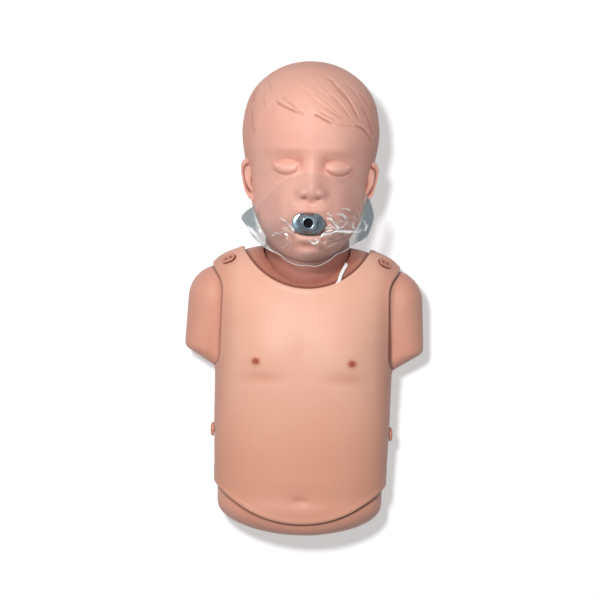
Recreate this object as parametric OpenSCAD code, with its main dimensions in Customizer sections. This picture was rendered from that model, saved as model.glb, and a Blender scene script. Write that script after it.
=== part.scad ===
// Child CPR training manikin: trunk with arm stubs, sprung chest, tilting head, face shield.
// It lies on its back: +Z points out of the chest, +Y toward the crown, X to the sides.

/* [Trunk] */
// Length of the trunk, from its bottom end to the top of the shoulders
trunk_l = 308; // [300:1:330]
// Width of the trunk at its bottom end
base_w = 175; // [168:1:182]
// Width of the chest below the arms
chest_w = 181; // [175:1:188]
// Width across the shoulders, without the arms
shoulder_w = 200; // [194:1:206]
// Thickness of the trunk at its bottom end
base_h = 96; // [90:1:102]
// Thickness of the chest
chest_h = 121; // [118:1:128]
// Wall of the trunk moulding
shell_t = 3.4; // [3:0.1:3.8]
// Depth of the rounding at the bottom end
end_round = 34; // [28:1:40]

/* [Arms] */
// Width over both arm stubs
arms_w = 253; // [246:1:262]
// Radius of the shoulder joint
shoulder_r = 34; // [31:1:36]
// Radius of the arm stub at its end
arm_r = 21; // [19:1:23]
// Length of the arm stub from the shoulder centre
arm_l = 62; // [54:1:68]

/* [Head] */
// Width of the head at the temples
head_w = 143; // [137:1:149]
// Length of the head from chin to crown
head_l = 211; // [205:1:219]
// Depth of the head from its back to the forehead
head_h = 144; // [140:1:148]
// Clearance below the back of the head
head_lift = 24; // [22:1:28]
// Radius of the round neck
neck_r = 45; // [43:1:47]
// Wall of the head moulding
skin_wall = 3; // [2.6:0.1:3.4]
// Length of each ear
ear_l = 44; // [38:1:48]

/* [Chest skin] */
// Thickness of the chest skin
skin_t = 3; // [2.4:0.1:3.6]
// Radius of the neckline
neckline_r = 74; // [70:1:78]
// Radius of the curved hem
hem_r = 118; // [112:1:126]
// Distance of the hem from the bottom end
hem_up = 14; // [10:1:20]
// Height above the back at which the skin ends on the sides
skin_edge = 34; // [30:1:38]

/* [Chest compression] */
// Depth to which the chest can be pressed
travel = 38; // [34:1:40]
// Length of the chest plate
plate_l = 100; // [92:1:104]
// Width of the chest plate
plate_w = 108; // [98:1:112]
// Thickness of the chest plate
plate_t = 3; // [2.5:0.1:3.5]
// Radius of the plunger rod
rod_r = 10; // [9:0.5:11]
// Mean radius of the spring
spring_r = 18; // [17.5:0.5:20]
// Radius of the spring wire
wire_r = 1.6; // [1.4:0.1:2]
// Number of turns of the spring
turns = 6; // [5:1:7]

/* [Neck joint] */
// Angle by which the head tilts forward
tilt_forward = 18; // [12:1:20]
// Radius of the neck pins
pin_r = 4; // [3.5:0.1:4.5]
// Thickness of the neck bracket and yoke
bracket_t = 4; // [3:0.5:5]
// Half of the distance between the neck bracket arms
bracket_x = 22; // [21:0.5:23]

/* [Airway] */
// Outer radius of the airway tube
tube_r = 8; // [7:0.5:8.5]
// Wall of the airway tube
tube_wall = 1.6; // [1.2:0.1:2]
// Radius of the breathing port
port_r = 4.5; // [4:0.1:5]
// Length of the lung bag
bag_l = 84; // [76:1:86]
// Thickness of the lung bag
bag_t = 2.4; // [2:0.1:2.6]

/* [Face shield] */
// Width of the film
film_w = 134; // [126:1:140]
// Length of the film
film_l = 94; // [86:1:98]
// Thickness of the film
film_t = 0.6; // [0.5:0.05:0.8]

/* [Hidden] */

// Colours of the vinyl, the skin pads and the metal
vinyl = [0.86, 0.64, 0.55];
pad = [0.91, 0.70, 0.60];
stud = [0.80, 0.55, 0.45];
steel = [0.72, 0.73, 0.75];
nylon = [0.90, 0.90, 0.88];

// Clearances: soft covers, seats, running fits and screws
soft_gap = 0.3;
seat_gap = 0.1;
fit_gap = 0.05;
screw_gap = 0.25;

// Places along the length
neck_down = 24;      // neck pivot below the shoulder top
chin_up = 5;         // chin above the neck pivot
press_down = 134;    // press point below the shoulder top
overall_l = trunk_l - neck_down + chin_up + head_l;
bottom_y = -overall_l / 2;
top_y = bottom_y + trunk_l;
pivot_y = top_y - neck_down;
pivot_z = 68;
chin_y = pivot_y + chin_up;
press_y = top_y - press_down;

// A smooth curve through rows of [position, value], level at both ends
function row(t, x, i = 0) = i >= len(t) - 2 || x < t[i + 1][0] ? i : row(t, x, i + 1);
function lean(t, i) = i <= 0 || i >= len(t) - 1 ? 0
    : (t[i + 1][1] - t[i - 1][1]) / (t[i + 1][0] - t[i - 1][0]);
function curve(t, x) =
    let (i = row(t, x), a = t[i], b = t[i + 1], h = b[0] - a[0])
    let (s = min(1, max(0, (x - a[0]) / h)))
    a[1] * (1 + 2 * s) * (1 - s) ^ 2 + h * lean(t, i) * s * (1 - s) ^ 2
    + b[1] * s ^ 2 * (3 - 2 * s) + h * lean(t, i + 1) * s ^ 2 * (s - 1);
function mix(a, b, s) = a + (b - a) * s;
function bell(d, s) = exp(-(d / s) ^ 2);
function arch(u, p) = (1 - min(1, abs(u)) ^ p) ^ (1 / p);

// Trunk form: half width, front height and back height against the share of its length
half_w = [[0.11, base_w / 2], [0.33, chest_w / 2 - 1], [0.55, chest_w / 2],
    [0.67, chest_w / 2 + 1.5], [0.76, shoulder_w / 2 - 5], [0.845, shoulder_w / 2],
    [0.903, shoulder_w / 2 - 1], [0.942, shoulder_w / 2 - 10], [0.971, shoulder_w * 0.355],
    [0.99, shoulder_w * 0.24], [1, shoulder_w * 0.11]];
rise = chest_h - base_h;
front = [[0.11, base_h], [0.2, base_h + rise * 0.18], [0.44, base_h + rise * 0.6],
    [0.55, base_h + rise * 0.84], [0.666, chest_h], [0.76, base_h + rise * 0.94],
    [0.844, base_h + rise * 0.66], [0.903, base_h + rise * 0.28], [0.942, base_h - 3],
    [0.971, base_h - 13], [0.99, base_h - 23], [1, base_h - 33]];
back = [[0.845, 0], [0.903, 4], [0.942, 12], [0.971, 24], [0.99, 36], [1, 47]];
widest = 0.42;       // height of the widest line, as a share of the thickness
belly_p = 2.5;       // squareness of the front
back_p = 4;          // squareness of the back
back_flat = 3;       // depth that the flat of the back takes off

function end_cut(f) =
    let (d = f * trunk_l)
    d >= end_round ? 1 : sqrt(1 - (1 - max(d, 0) / end_round) ^ 2);
function part_w(f) = curve(half_w, f) * end_cut(f);
function mid_z(f) = mix(curve(back, f), curve(front, f), widest);
function front_z(f) = mid_z(f) + (curve(front, f) - mid_z(f)) * end_cut(f) ^ 0.4;
function back_z(f) = mid_z(f) - (mid_z(f) - curve(back, f)) * end_cut(f) ^ 0.4;
function share(y) = (y - bottom_y) / trunk_l;

// Height of the trunk's front at a place seen from above
function trunk_z(x, y) =
    let (f = share(y), w = max(1, part_w(f)))
    mid_z(f) + (front_z(f) - mid_z(f)) * arch(x / w, belly_p);

// Soft relief of the chest skin: chest muscles, the crease below them and the navel
navel_y = bottom_y + 38;
nipple_x = 50;
nipple_y = press_y + 10;
function relief(x, y) =
    3.2 * bell(abs(x) - 44, 30) * bell(y - nipple_y - 8, 30)
    - 1.1 * bell(y - nipple_y + 17, 7) * bell(abs(x) - 44, 26)
    + 1.0 * bell(abs(x) - nipple_x, 5) * bell(y - nipple_y, 5)
    - 2.2 * bell(x, 9) * bell(y - navel_y, 5);

// One ring of the trunk form, grown by g; angles are closer over the front
front_n = 20;
back_n = 6;
ring_a = [for (i = [0:front_n]) -14 + 208 * i / front_n,
    for (i = [1:back_n - 1]) 194 + 152 * i / back_n];
function power(c, p) = sign(c) * abs(c) ^ (2 / p);
function ring_point(a, w, y, low, mid, high, lift) =
    let (p = sin(a) >= 0 ? belly_p : back_p, x = w * power(cos(a), p))
    let (s = power(sin(a), p))
    let (z = s >= 0 ? mid + (high - mid) * s : max(low, mid + (mid - low + back_flat) * s))
    [x, y, z + (lift && s > 0 ? relief(x, y) * min(1, 2 * s) : 0)];
function trunk_ring(f, g, lift, angles) =
    let (w = part_w(f) + g * min(1, end_cut(f) + 0.3))
    let (y = bottom_y - g + (trunk_l + 2 * g) * (f - end_f) / (1 - 2 * end_f))
    [for (a = angles)
        ring_point(a, w, y, back_z(f) - g * (f > 0.85 ? 1 : sign(-min(g, 0))), mid_z(f),
            front_z(f) + g, lift)];

// Closed skin over a list of rings with equal numbers of points
module loft(rings) {
    n = len(rings[0]);
    m = len(rings);
    polyhedron([for (r = rings) for (p = r) p],
        [[for (i = [0:n - 1]) i],
            for (k = [0:m - 2]) for (i = [0:n - 1]) let (j = (i + 1) % n, a = k * n, b = a + n)
                each [[a + i, b + i, b + j], [a + i, b + j, a + j]],
            [for (i = [n - 1:-1:0]) (m - 1) * n + i]],
        convexity = 6);
}

trunk_rings = 20;
end_f = 0.003;       // first station, where the rounded end is already open
function station(k, n) = mix(end_f, 1 - end_f, mix(k / n, (1 - cos(180 * k / n)) / 2, 0.75));
module trunk_form(g, lift = false, n = trunk_rings, angles = ring_a)
    loft([for (k = [n:-1:0]) trunk_ring(station(k, n), g, lift, angles)]);

coarse_a = [for (i = [0:15]) 22.5 * i];

// Arm stub: shoulder ball drawn out to a round end with a soft edge
shoulder_x = arms_w / 2 - shoulder_r - 3;
shoulder_y = top_y - 58;
shoulder_z = 48;
arm_splay = 14;
arm_edge = 8;
armpit_r = 12;
module arm_stub(side, g) {
    hull() {
        translate([side * shoulder_x, shoulder_y, shoulder_z]) sphere(r = shoulder_r + g, $fn = g < 0 ? 12 : 20);
        translate([side * shoulder_x, shoulder_y, shoulder_z - 3])
            rotate([90, 0, side * arm_splay])
                translate([side * 3, 0, arm_l - arm_edge])
                    rotate_extrude($fn = g < 0 ? 12 : 18)
                        translate([arm_r - arm_edge, 0]) circle(r = arm_edge + g, $fn = 8);
        translate([side * (shoulder_x - 8), shoulder_y - arm_l - 4, shoulder_z - 4])
            sphere(r = armpit_r + g, $fn = 8);
    }
}

// Screw bosses on the trunk floor
floor_z = shell_t;
boss_h = 6;
boss_r = 4.5;
seat_z = floor_z + boss_h;
base_r = 34;
base_boss_r = 27.5;
base_bosses = [for (a = [45:90:315]) [base_boss_r * cos(a), press_y + base_boss_r * sin(a)]];
bracket_foot_y = pivot_y - 54;
bracket_bosses = [for (x = [-24, 24]) [x, bracket_foot_y - 16], for (x = [-24, 24]) [x, bracket_foot_y - 4]];
screw_r = 1.5;

// Round corners on a plate outline of width w and length l, grown by g
module plate_outline(w, l, g) {
    offset(r = 16 + g, $fn = 32) square([w - 32, l - 32], center = true);
}

plate_y = press_y;
socket_gap = 0.8;
module torso_shell() {
    color(vinyl) difference() {
        union() {
            difference() {
                union() {
                    trunk_form(0);
                    for (side = [-1, 1]) arm_stub(side, 0);
                }
                trunk_form(-shell_t, false, 12, coarse_a);
                for (side = [-1, 1]) arm_stub(side, -shell_t);
            }
            for (p = concat(base_bosses, bracket_bosses))
                hull() {
                    translate([p[0], p[1], 1]) cylinder(r = boss_r + 1, h = 3, $fn = 8);
                    translate([p[0], p[1], 1]) cylinder(r = boss_r, h = seat_z - 1, $fn = 8);
                }
        }
        for (p = concat(base_bosses, bracket_bosses))
            translate([p[0], p[1], 1.2]) cylinder(r = screw_r + screw_gap, h = 20, $fn = 8);
        translate([0, plate_y, 60])
            linear_extrude(100) plate_outline(plate_w, plate_l, 1.6);
        translate([0, pivot_y, pivot_z]) sphere(r = neck_r + socket_gap, $fn = 30);
        for (a = [0, tilt_forward]) translate([0, pivot_y, pivot_z]) rotate([a - 90, 0, 0])
            cylinder(r = neck_r + socket_gap, h = 60, $fn = 30);
        for (side = [-1, 1]) {
            shoulder_place(side) cylinder(r = stud_r + 1, h = 30, center = true, $fn = 10);
            side_place(side) cylinder(r = stud_r + 1, h = 30, center = true, $fn = 10);
        }
    }
}

// Outline of the chest skin as it is seen from above
armpit_y = top_y - 136;
armhole_x = 86;
hem_y = bottom_y + hem_up;
neckline_y = top_y - 47.5 + neckline_r;
module armhole() {
    hull() {
        translate([armhole_x + 20, armpit_y + 20]) circle(r = 20, $fn = 28);
        translate([armhole_x + 30, top_y - 52]) circle(r = 30, $fn = 36);
        translate([armhole_x + 36, top_y + 4]) circle(r = 3, $fn = 12);
        translate([armhole_x + 70, armpit_y + 10]) circle(r = 10, $fn = 12);
        translate([armhole_x + 70, top_y]) circle(r = 3, $fn = 12);
    }
}
module skin_outline() {
    difference() {
        union() {
            translate([0, hem_y + hem_r]) circle(r = hem_r, $fn = 90);
            translate([-hem_r, hem_y + hem_r]) square([2 * hem_r, 220]);
        }
        translate([0, neckline_y]) circle(r = neckline_r, $fn = 90);
        for (side = [0, 1]) mirror([side, 0]) armhole();
    }
}
tab_y = bottom_y + 93;
tab_l = 50;
tab_low = 22;
module skin_space() {
    translate([0, 0, skin_edge]) linear_extrude(120) skin_outline();
    for (side = [-1, 1])
        hull() for (y = [-1, 1])
            translate([side * 100, tab_y + y * (tab_l / 2 - 10), tab_low + 10])
                rotate([0, 90, 0]) cylinder(r = 10, h = 60, center = true, $fn = 16);
}

// Places of the fasteners on the skin
stud_r = 3;
strap_x = 80;
strap_y = top_y - 18;
side_y = bottom_y + 109;
side_f = share(side_y);
strap_slope = atan((trunk_z(strap_x, strap_y + 2) - trunk_z(strap_x, strap_y - 2)) / 4);
strap_tilt = atan((trunk_z(strap_x - 2, strap_y) - trunk_z(strap_x + 2, strap_y)) / 4);
module shoulder_place(side) {
    translate([side * strap_x, strap_y, trunk_z(strap_x, strap_y)])
        rotate([strap_slope, 0, 0]) rotate([0, side * strap_tilt, 0]) rotate([0, 0, side * -28])
            children();
}
module side_place(side) {
    translate([side * part_w(side_f), side_y, mid_z(side_f)])
        rotate([0, side * 90, 0]) children();
}
module chest_skin() {
    color(pad) difference() {
        intersection() {
            union() {
                trunk_form(skin_t + soft_gap, true);
                for (side = [-1, 1]) arm_stub(side, skin_t + soft_gap);
            }
            skin_space();
        }
        trunk_form(soft_gap);
        for (side = [-1, 1]) {
            arm_stub(side, soft_gap);
            shoulder_place(side) {
                cylinder(r = stud_r + 0.6, h = 30, center = true, $fn = 10);
                translate([0, 0, strap_seat]) linear_extrude(20)
                    offset(delta = 0.5) button_face(button_w, button_l, 16);
            }
            side_place(side) cylinder(r = stud_r + 0.6, h = 30, center = true, $fn = 10);
        }
    }
}

// Oval stud with two blind holes and a shank through skin and shell
button_w = 17;
button_l = 11;
button_t = 2.6;
strap_seat = soft_gap + skin_t + 0.4;
module button_face(w, l, n = 32) {
    square([w - l, l], center = true);
    for (side = [-1, 1]) translate([side * (w - l) / 2, 0]) circle(d = l, $fn = n);
}
module shoulder_button(side) {
    lift = strap_seat + soft_gap;
    color(stud) shoulder_place(side) difference() {
        union() {
            translate([0, 0, lift]) linear_extrude(button_t - 0.8) button_face(button_w, button_l);
            translate([0, 0, lift + button_t - 0.8])
                linear_extrude(0.8) button_face(button_w - 1.6, button_l - 1.6);
            translate([0, 0, -shell_t - 0.6]) cylinder(r = stud_r, h = lift + shell_t + 0.7, $fn = 32);
        }
        for (x = [-1, 1])
            translate([x * 3.2, 0, lift + 0.8]) cylinder(r = 1.2, h = 3, $fn = 20);
    }
}
module shoulder_button_left() { shoulder_button(-1); }
module shoulder_button_right() { shoulder_button(1); }

// Round side stud with a domed head
side_r = 7.5;
module side_button(side) {
    lift = soft_gap + skin_t + 0.5;
    color(stud) side_place(side) {
        rotate_extrude($fn = 48) polygon([[0, -shell_t - 1], [stud_r, -shell_t - 1],
            [stud_r, lift], [side_r, lift], [side_r, lift + 1.4], [side_r - 1.2, lift + 2.6],
            [side_r - 3.4, lift + 3.3], [0, lift + 3.6]]);
    }
}
module side_button_left() { side_button(-1); }
module side_button_right() { side_button(1); }

// Levels of the chest compression stack, from the skin down
plate_gap = bag_t + 2 * soft_gap;
pad_r = 29;
pad_z = trunk_z(pad_r, press_y - pad_r) - plate_gap - plate_t - 0.4;
flange_t = 4;
flange_r = 26;
spring_top = pad_z - seat_gap - flange_t;
base_t = 4;
spring_low = seat_z + seat_gap + base_t;
guide_top = spring_top - travel - 2;
guide_wall = 3;
rod_end = seat_z + seat_gap + travel + 3;

// Spring base: flange with screw holes, guide tube and four ribs
module spring_base() {
    color(nylon) translate([0, press_y, seat_z + seat_gap]) difference() {
        union() {
            cylinder(r = base_r, h = base_t, $fn = 64);
            cylinder(r = rod_r + guide_wall, h = guide_top - seat_z - seat_gap, $fn = 64);
            difference() {
                cylinder(r = base_r, h = base_t + 4, $fn = 64);
                cylinder(r = base_r - 2.5, h = 20, $fn = 64);
            }
        }
        translate([0, 0, -1]) cylinder(r = rod_r + fit_gap, h = 100, $fn = 64);
        for (a = [45:90:315]) rotate(a) translate([base_boss_r, 0, -1])
            cylinder(r = screw_r + screw_gap, h = 10, $fn = 24);
    }
}

// Pan head screw, its head resting at the origin
module screw(len) {
    translate([0, 0, -len]) cylinder(r = screw_r, h = len + 0.1, $fn = 24);
    cylinder(r = screw_r * 1.9, h = 1.2, $fn = 24);
    translate([0, 0, 1.2]) cylinder(r1 = screw_r * 1.9, r2 = screw_r * 1.2, h = 0.7, $fn = 24);
}
module base_screws() {
    color(steel) for (p = base_bosses)
        translate([p[0], p[1], spring_low + seat_gap]) screw(9);
}
module bracket_screws() {
    color(steel) for (p = bracket_bosses)
        translate([p[0], p[1], seat_z + seat_gap + bracket_t + seat_gap]) screw(9);
}

// Coil spring between the base and the plunger flange
module compression_spring() {
    sides = 5;
    steps = turns * 10;
    low = spring_low + wire_r + seat_gap;
    high = spring_top - wire_r - seat_gap;
    color(steel) translate([0, press_y, 0]) loft([for (k = [0:steps])
        let (a = 360 * turns * k / steps, z = mix(low, high, k / steps))
        [for (i = [0:sides - 1]) let (b = 360 * i / sides)
            [(spring_r + wire_r * cos(b)) * cos(a), (spring_r + wire_r * cos(b)) * sin(a),
                z - wire_r * sin(b)]]]);
}

// Closed sheet between two surfaces over an outline around c, with a hole of radius share h
module sheet(outline, c, top, low, n, m, h = 0) {
    out = [for (j = [0:m - 1]) outline(360 * j / m)];
    t = [for (k = [0:n]) mix(h, 1, k / n)];
    function at(s, j) = [c[0] + out[j][0] * s, c[1] + out[j][1] * s];
    up = [for (k = [0:n]) [for (j = [0:m - 1]) let (q = at(t[k] == 0 ? 0.02 : t[k], j))
        [q[0], q[1], top(q[0], q[1])]]];
    down = [for (k = [0:n]) [for (j = [0:m - 1]) let (q = at(t[k] == 0 ? 0.02 : t[k], j))
        [q[0], q[1], low(q[0], q[1])]]];
    if (h == 0) {
        half = [for (k = [0:n]) down[k]];
        loft(concat(half, [for (k = [n:-1:0]) up[k]]));
    } else {
        r = concat([for (k = [0:n]) down[k]], [for (k = [n:-1:0]) up[k]]);
        w = len(r);
        polyhedron([for (q = r) for (p = q) p],
            [for (k = [0:w - 1]) for (i = [0:m - 1])
                let (j = (i + 1) % m, a = k * m, b = ((k + 1) % w) * m)
                each [[a + i, b + i, b + j], [a + i, b + j, a + j]]],
            convexity = 6);
    }
}

// Chest plate: a domed plate with a flat pad for the plunger under it
function super_outline(w, l, p) = function (a)
    [w / 2 * power(cos(a), p), l / 2 * power(sin(a), p)];
module chest_plate() {
    top = function (x, y) trunk_z(x, y) - plate_gap;
    low = function (x, y)
        min(top(x, y) - plate_t, pad_z + max(0, norm([x, y - press_y]) - pad_r) * 3);
    color(nylon) sheet(super_outline(plate_w - 1.6, plate_l - 1.6, 4), [0, plate_y], top, low, 5, 20);
}

// Plunger: flange under the plate, spring spigot and guided rod
module plunger() {
    color(nylon) translate([0, press_y, 0]) difference() {
        union() {
            translate([0, 0, spring_top]) cylinder(r = flange_r, h = flange_t, $fn = 64);
            translate([0, 0, rod_end]) cylinder(r = rod_r, h = spring_top - rod_end + 1, $fn = 64);
            translate([0, 0, spring_top - 1.6])
                cylinder(r = spring_r - wire_r - 0.6, h = 2, $fn = 64);
        }
        translate([0, 0, spring_top - 14]) cylinder(r = screw_r + fit_gap, h = 40, $fn = 24);
    }
}
module plunger_screw() {
    color(steel) translate([0, press_y, pad_z - seat_gap - 10])
        cylinder(r = screw_r, h = 10, $fn = 24);
}

// Lung bag: a flat pillow on the chest plate
module lung_bag() {
    low = function (x, y) trunk_z(x, y) - plate_gap + soft_gap;
    top = function (x, y)
        let (u = norm([x / (bag_l * 0.48), (y - press_y) / (bag_l * 0.5)]))
        low(x, y) + 0.8 + (bag_t - 0.8 - soft_gap) * max(0, 1 - u ^ 4);
    color([0.82, 0.88, 0.92]) sheet(super_outline(bag_l * 0.96, bag_l, 3.2), [0, press_y],
        top, low, 3, 16);
}

// Neck bracket in the trunk: foot on its bosses, upright and two arms
arm_h = 10;
upright_y = bracket_foot_y;
module bore_x(r, y, z) {
    translate([0, y, z]) rotate([0, 90, 0]) cylinder(r = r, h = 200, center = true, $fn = 48);
}
module hinge_arm(x, y0, y1) {
    translate([x, min(y0, y1), pivot_z - arm_h]) cube([bracket_t, abs(y1 - y0), 2 * arm_h]);
    translate([x, y1, pivot_z]) rotate([0, 90, 0]) cylinder(r = arm_h, h = bracket_t, $fn = 48);
}
module neck_bracket() {
    foot_z = seat_z + seat_gap;
    color(steel) difference() {
        union() {
            translate([-31, upright_y - 20, foot_z]) cube([62, 20 + bracket_t, bracket_t]);
            translate([-31, upright_y, foot_z])
                cube([62, bracket_t, pivot_z + arm_h - foot_z]);
            for (x = [-bracket_x - bracket_t, bracket_x]) hinge_arm(x, upright_y, pivot_y);
        }
        bore_x(pin_r + fit_gap, pivot_y, pivot_z);
        for (p = bracket_bosses)
            translate([p[0], p[1], 0]) cylinder(r = screw_r + screw_gap, h = 30, $fn = 24);
        translate([0, upright_y, pivot_z - 14]) rotate([90, 0, 0])
            cylinder(r = 12, h = 30, center = true, $fn = 48);
    }
}

// Neck yoke in the head: disc behind the neck ledge and two arms
washer_t = 1.6;
yoke_x = bracket_x + bracket_t + washer_t + 2 * 0.2;
ledge_y = pivot_y + 20;
neck_bore = neck_r - skin_wall - 4;
module neck_yoke() {
    color(steel) difference() {
        union() {
            translate([0, ledge_y - bracket_t, pivot_z]) rotate([-90, 0, 0])
                cylinder(r = neck_bore - soft_gap, h = bracket_t - seat_gap, $fn = 64);
            for (x = [-yoke_x - bracket_t, yoke_x]) hinge_arm(x, ledge_y - 1, pivot_y);
        }
        bore_x(pin_r + fit_gap, pivot_y, pivot_z);
        translate([0, ledge_y, pivot_z]) rotate([90, 0, 0])
            cylinder(r = tube_r + fit_gap * 2, h = 20, center = true, $fn = 48);
    }
}
pin_end = yoke_x + bracket_t + 2.4;
module neck_pins() {
    color(steel) for (side = [-1, 1]) translate([0, pivot_y, pivot_z])
        rotate([0, side * 90, 0]) {
            translate([0, 0, bracket_x - 2.2]) cylinder(r = pin_r + 2.4, h = 2.2 - seat_gap, $fn = 48);
            translate([0, 0, bracket_x - 1]) cylinder(r = pin_r, h = pin_end - bracket_x + 1, $fn = 48);
        }
}
module collar(x, t, bore, r) {
    for (side = [-1, 1]) translate([0, pivot_y, pivot_z]) rotate([0, side * 90, 0])
        translate([0, 0, x]) difference() {
            cylinder(r = r, h = t, $fn = 48);
            translate([0, 0, -1]) cylinder(r = bore, h = t + 2, $fn = 48);
        }
}
module neck_washers() {
    color(nylon) collar(bracket_x + bracket_t + 0.2, washer_t, pin_r + fit_gap, pin_r + 4);
}
module pin_clips() {
    color(steel) collar(yoke_x + bracket_t + 0.2, 1.2, pin_r, pin_r + 2.2);
}

// Head form. Lengths here are those of the sculpt, which is fitted to the head sizes.
// The front view is polar around the nose; s runs along the outline, in degrees from +X.
sculpt_w = 143;
sculpt_l = 211;
sculpt_h = 144;
nose_up = 73;
brow_z = 62;         // height of the head's outline above its back
kx = head_w / sculpt_w;
ky = head_l / sculpt_l;
kz = head_h / sculpt_h;
head_outline = [[-90, 73], [-75, 71.5], [-60, 68], [-45, 64], [-30, 61.5], [-15, 61], [0, 61.5],
    [15, 66], [30, 80.2], [45, 101.5], [60, 123], [75, 134.5], [90, 138]];
edge_z = [[-90, 92], [-50, 80], [-10, 60], [30, 60], [90, 66]];
squareness = [[-90, 5], [-30, 2.9], [20, 2.5], [90, 4.2]];
face_line = [[0, 119], [20, 124], [40, 128], [58, 130], [75, 131], [92, 132.5], [104, 135],
    [116, 139.5], [132, 143], [155, 144.5], [180, 144], [211, 142]];
function fold(a) = let (b = (a + 3600) % 360, c = b > 180 ? b - 360 : b)
    c > 90 ? 180 - c : c < -90 ? -180 - c : c;

// Hair: a raised cap whose edge is a fringe swept across the forehead
hair_edge = [[-72, 112], [-63, 130], [-52, 152], [-41, 166], [-26, 160], [-6, 149], [0, 151],
    [20, 141], [44, 140], [60, 128], [70, 112]];
function step(t) = let (s = min(1, max(0, t))) s * s * (3 - 2 * s);
function hair(x, y) = 2.2 * step((y - curve(hair_edge, x)) / 7);

// Features of the face: [side offset, height above the chin, spread x, spread y, rise]
features = [
    [0, 77, 9, 9, 11.5], [0, 90, 7, 13, 6], [0, 104, 8, 11, 1.5], [11, 71, 5.5, 6, 6.5],
    [0, 67, 4.5, 5, 3.5], [7.5, 65.5, 3.2, 2.6, -4.5],
    [25, 100, 18, 13, -7.5], [27, 99, 13, 8, 7.5], [27, 91, 14, 2.6, -1.6], [12, 98, 5, 7, -2],
    [26, 115, 19, 6, 2.6], [36, 60, 19, 21, 5.5], [24, 52, 5, 14, -1.5],
    [0, 51.5, 15, 5, 5], [0, 57, 4, 6, -1.6], [0, 24, 13, 5, 6], [0, 38, 13, 8, -5],
    [19, 38, 5, 6, -2], [0, 15, 14, 4.5, -3.5], [0, 4, 14, 9, 5]];
function feature_sum(x, y) = let (r = [for (f = features)
    f[4] * bell(abs(x) - f[0], f[2]) * bell(y - f[1], f[3])]) r * [for (i = r) 1];

// Point of the head at share t of its outline in direction a, front or rear, shrunk by g
function head_point(a, t, front_side, g) =
    let (c = fold(a), r = (curve(head_outline, c) - g) * t)
    let (x = r * cos(a), y = nose_up + r * sin(a))
    let (ze = mix(brow_z, curve(edge_z, c), t * t), q = curve(squareness, c))
    let (rim = (1 - min(1, t) ^ q) ^ 0.5)
    let (slope = x * x / mix(118, 170, step((y - 80) / 60)))
    let (up = curve(face_line, y) - slope - g * 2.7 + (g == 0 ? feature_sum(x, y) + hair(x, y) : 0))
    let (under = 0.0022 * (y - 128) ^ 2 + x * x / 210 + g)
    let (z = front_side ? mix(ze, up, rim) : mix(ze, under, (1 - t ^ 3) ^ 0.5))
    [x * kx, chin_y + y * ky, head_lift + z * kz];
module head_form(g, n, m, rear) {
    function ease(u) = mix(u, sin(90 * u), 0.5);
    loft([
        for (k = [1:rear]) [for (j = [0:m - 1])
            head_point(360 * j / m, ease(k / rear), false, g)],
        for (k = [n:-1:0.4]) [for (j = [0:m - 1])
            head_point(360 * j / m, ease(max(k, 0.3) / n) * (k == n ? 0.985 : 1), true, g)]]);
}

// Ear: a rolled rim around a shallow bowl
ear_y = chin_y + 86 * ky;
ear_z = head_lift + 62 * kz;
ear_in = 9;          // ear centre inside the widest line of the head
function ear_rim(i) = let (a = -62 + 292 * i / 7, s = ear_l / 44)
    [10 * cos(a) * s - 1 - (a < 0 ? 3 : 0), 16.5 * sin(a) * s + 1];
module ear(side) {
    translate([side * (head_w / 2 - ear_in), ear_y, ear_z])
        mirror([side < 0 ? 1 : 0, 0, 0]) rotate([0, 14, -12]) {
            for (i = [0:6]) hull() for (k = [0, 1]) let (p = ear_rim(i + k))
                translate([0.8 * sin(22 * (i + k)) + 1.4, p[1], -p[0]]) sphere(r = 2.7, $fn = 6);
            hull() {
                translate([-2.4, 2, 3]) sphere(r = 4, $fn = 8);
                translate([-2.4, -12, 0]) sphere(r = 4, $fn = 8);
                translate([-2.6, 12, -3]) sphere(r = 4, $fn = 8);
            }
            hull() {
                translate([0.6, -17, 1]) sphere(r = 3.4, $fn = 6);
                translate([-1.5, -13, 3]) sphere(r = 3.4, $fn = 6);
            }
        }
}

mouth_y = chin_y + 39 * ky;
lips_z = head_lift + 133 * kz;
module neck_outer() {
    hull() {
        translate([0, pivot_y, pivot_z]) sphere(r = neck_r, $fn = 26);
        translate([0, pivot_y + 50, pivot_z + 9]) rotate([90, 0, 0])
            scale([1, 0.74, 1]) cylinder(r = neck_r - 1.5, h = 2, $fn = 26);
    }
}
module neck_inner() {
    translate([0, pivot_y, pivot_z]) sphere(r = neck_r - skin_wall, $fn = 18);
    translate([0, pivot_y - neck_r - 5, pivot_z]) rotate([-90, 0, 0])
        cylinder(r = neck_r - 9, h = neck_r, $fn = 20);
    translate([0, pivot_y, pivot_z]) rotate([-90, 0, 0])
        cylinder(r = neck_bore / cos(9), h = ledge_y - pivot_y, $fn = 20);
    translate([0, pivot_y, pivot_z]) rotate([-90, 0, 0])
        cylinder(r = neck_bore - 6, h = ledge_y - pivot_y + 8, $fn = 20);
}
module head_skin() {
    color(vinyl) difference() {
        union() {
            head_form(0, 24, 50, 6);
            neck_outer();
            for (side = [-1, 1]) ear(side);
        }
        intersection() {
            head_form(skin_wall + 0.8, 6, 18, 5);
            translate([0, ledge_y + 104, 60]) cube([200, 200, 400], center = true);
        }
        neck_inner();
        hull() for (side = [-1, 1])
            translate([side * 6.5 * kx, mouth_y, lips_z - 34]) cylinder(r = 8.6, h = 60, $fn = 28);
    }
}

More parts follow.
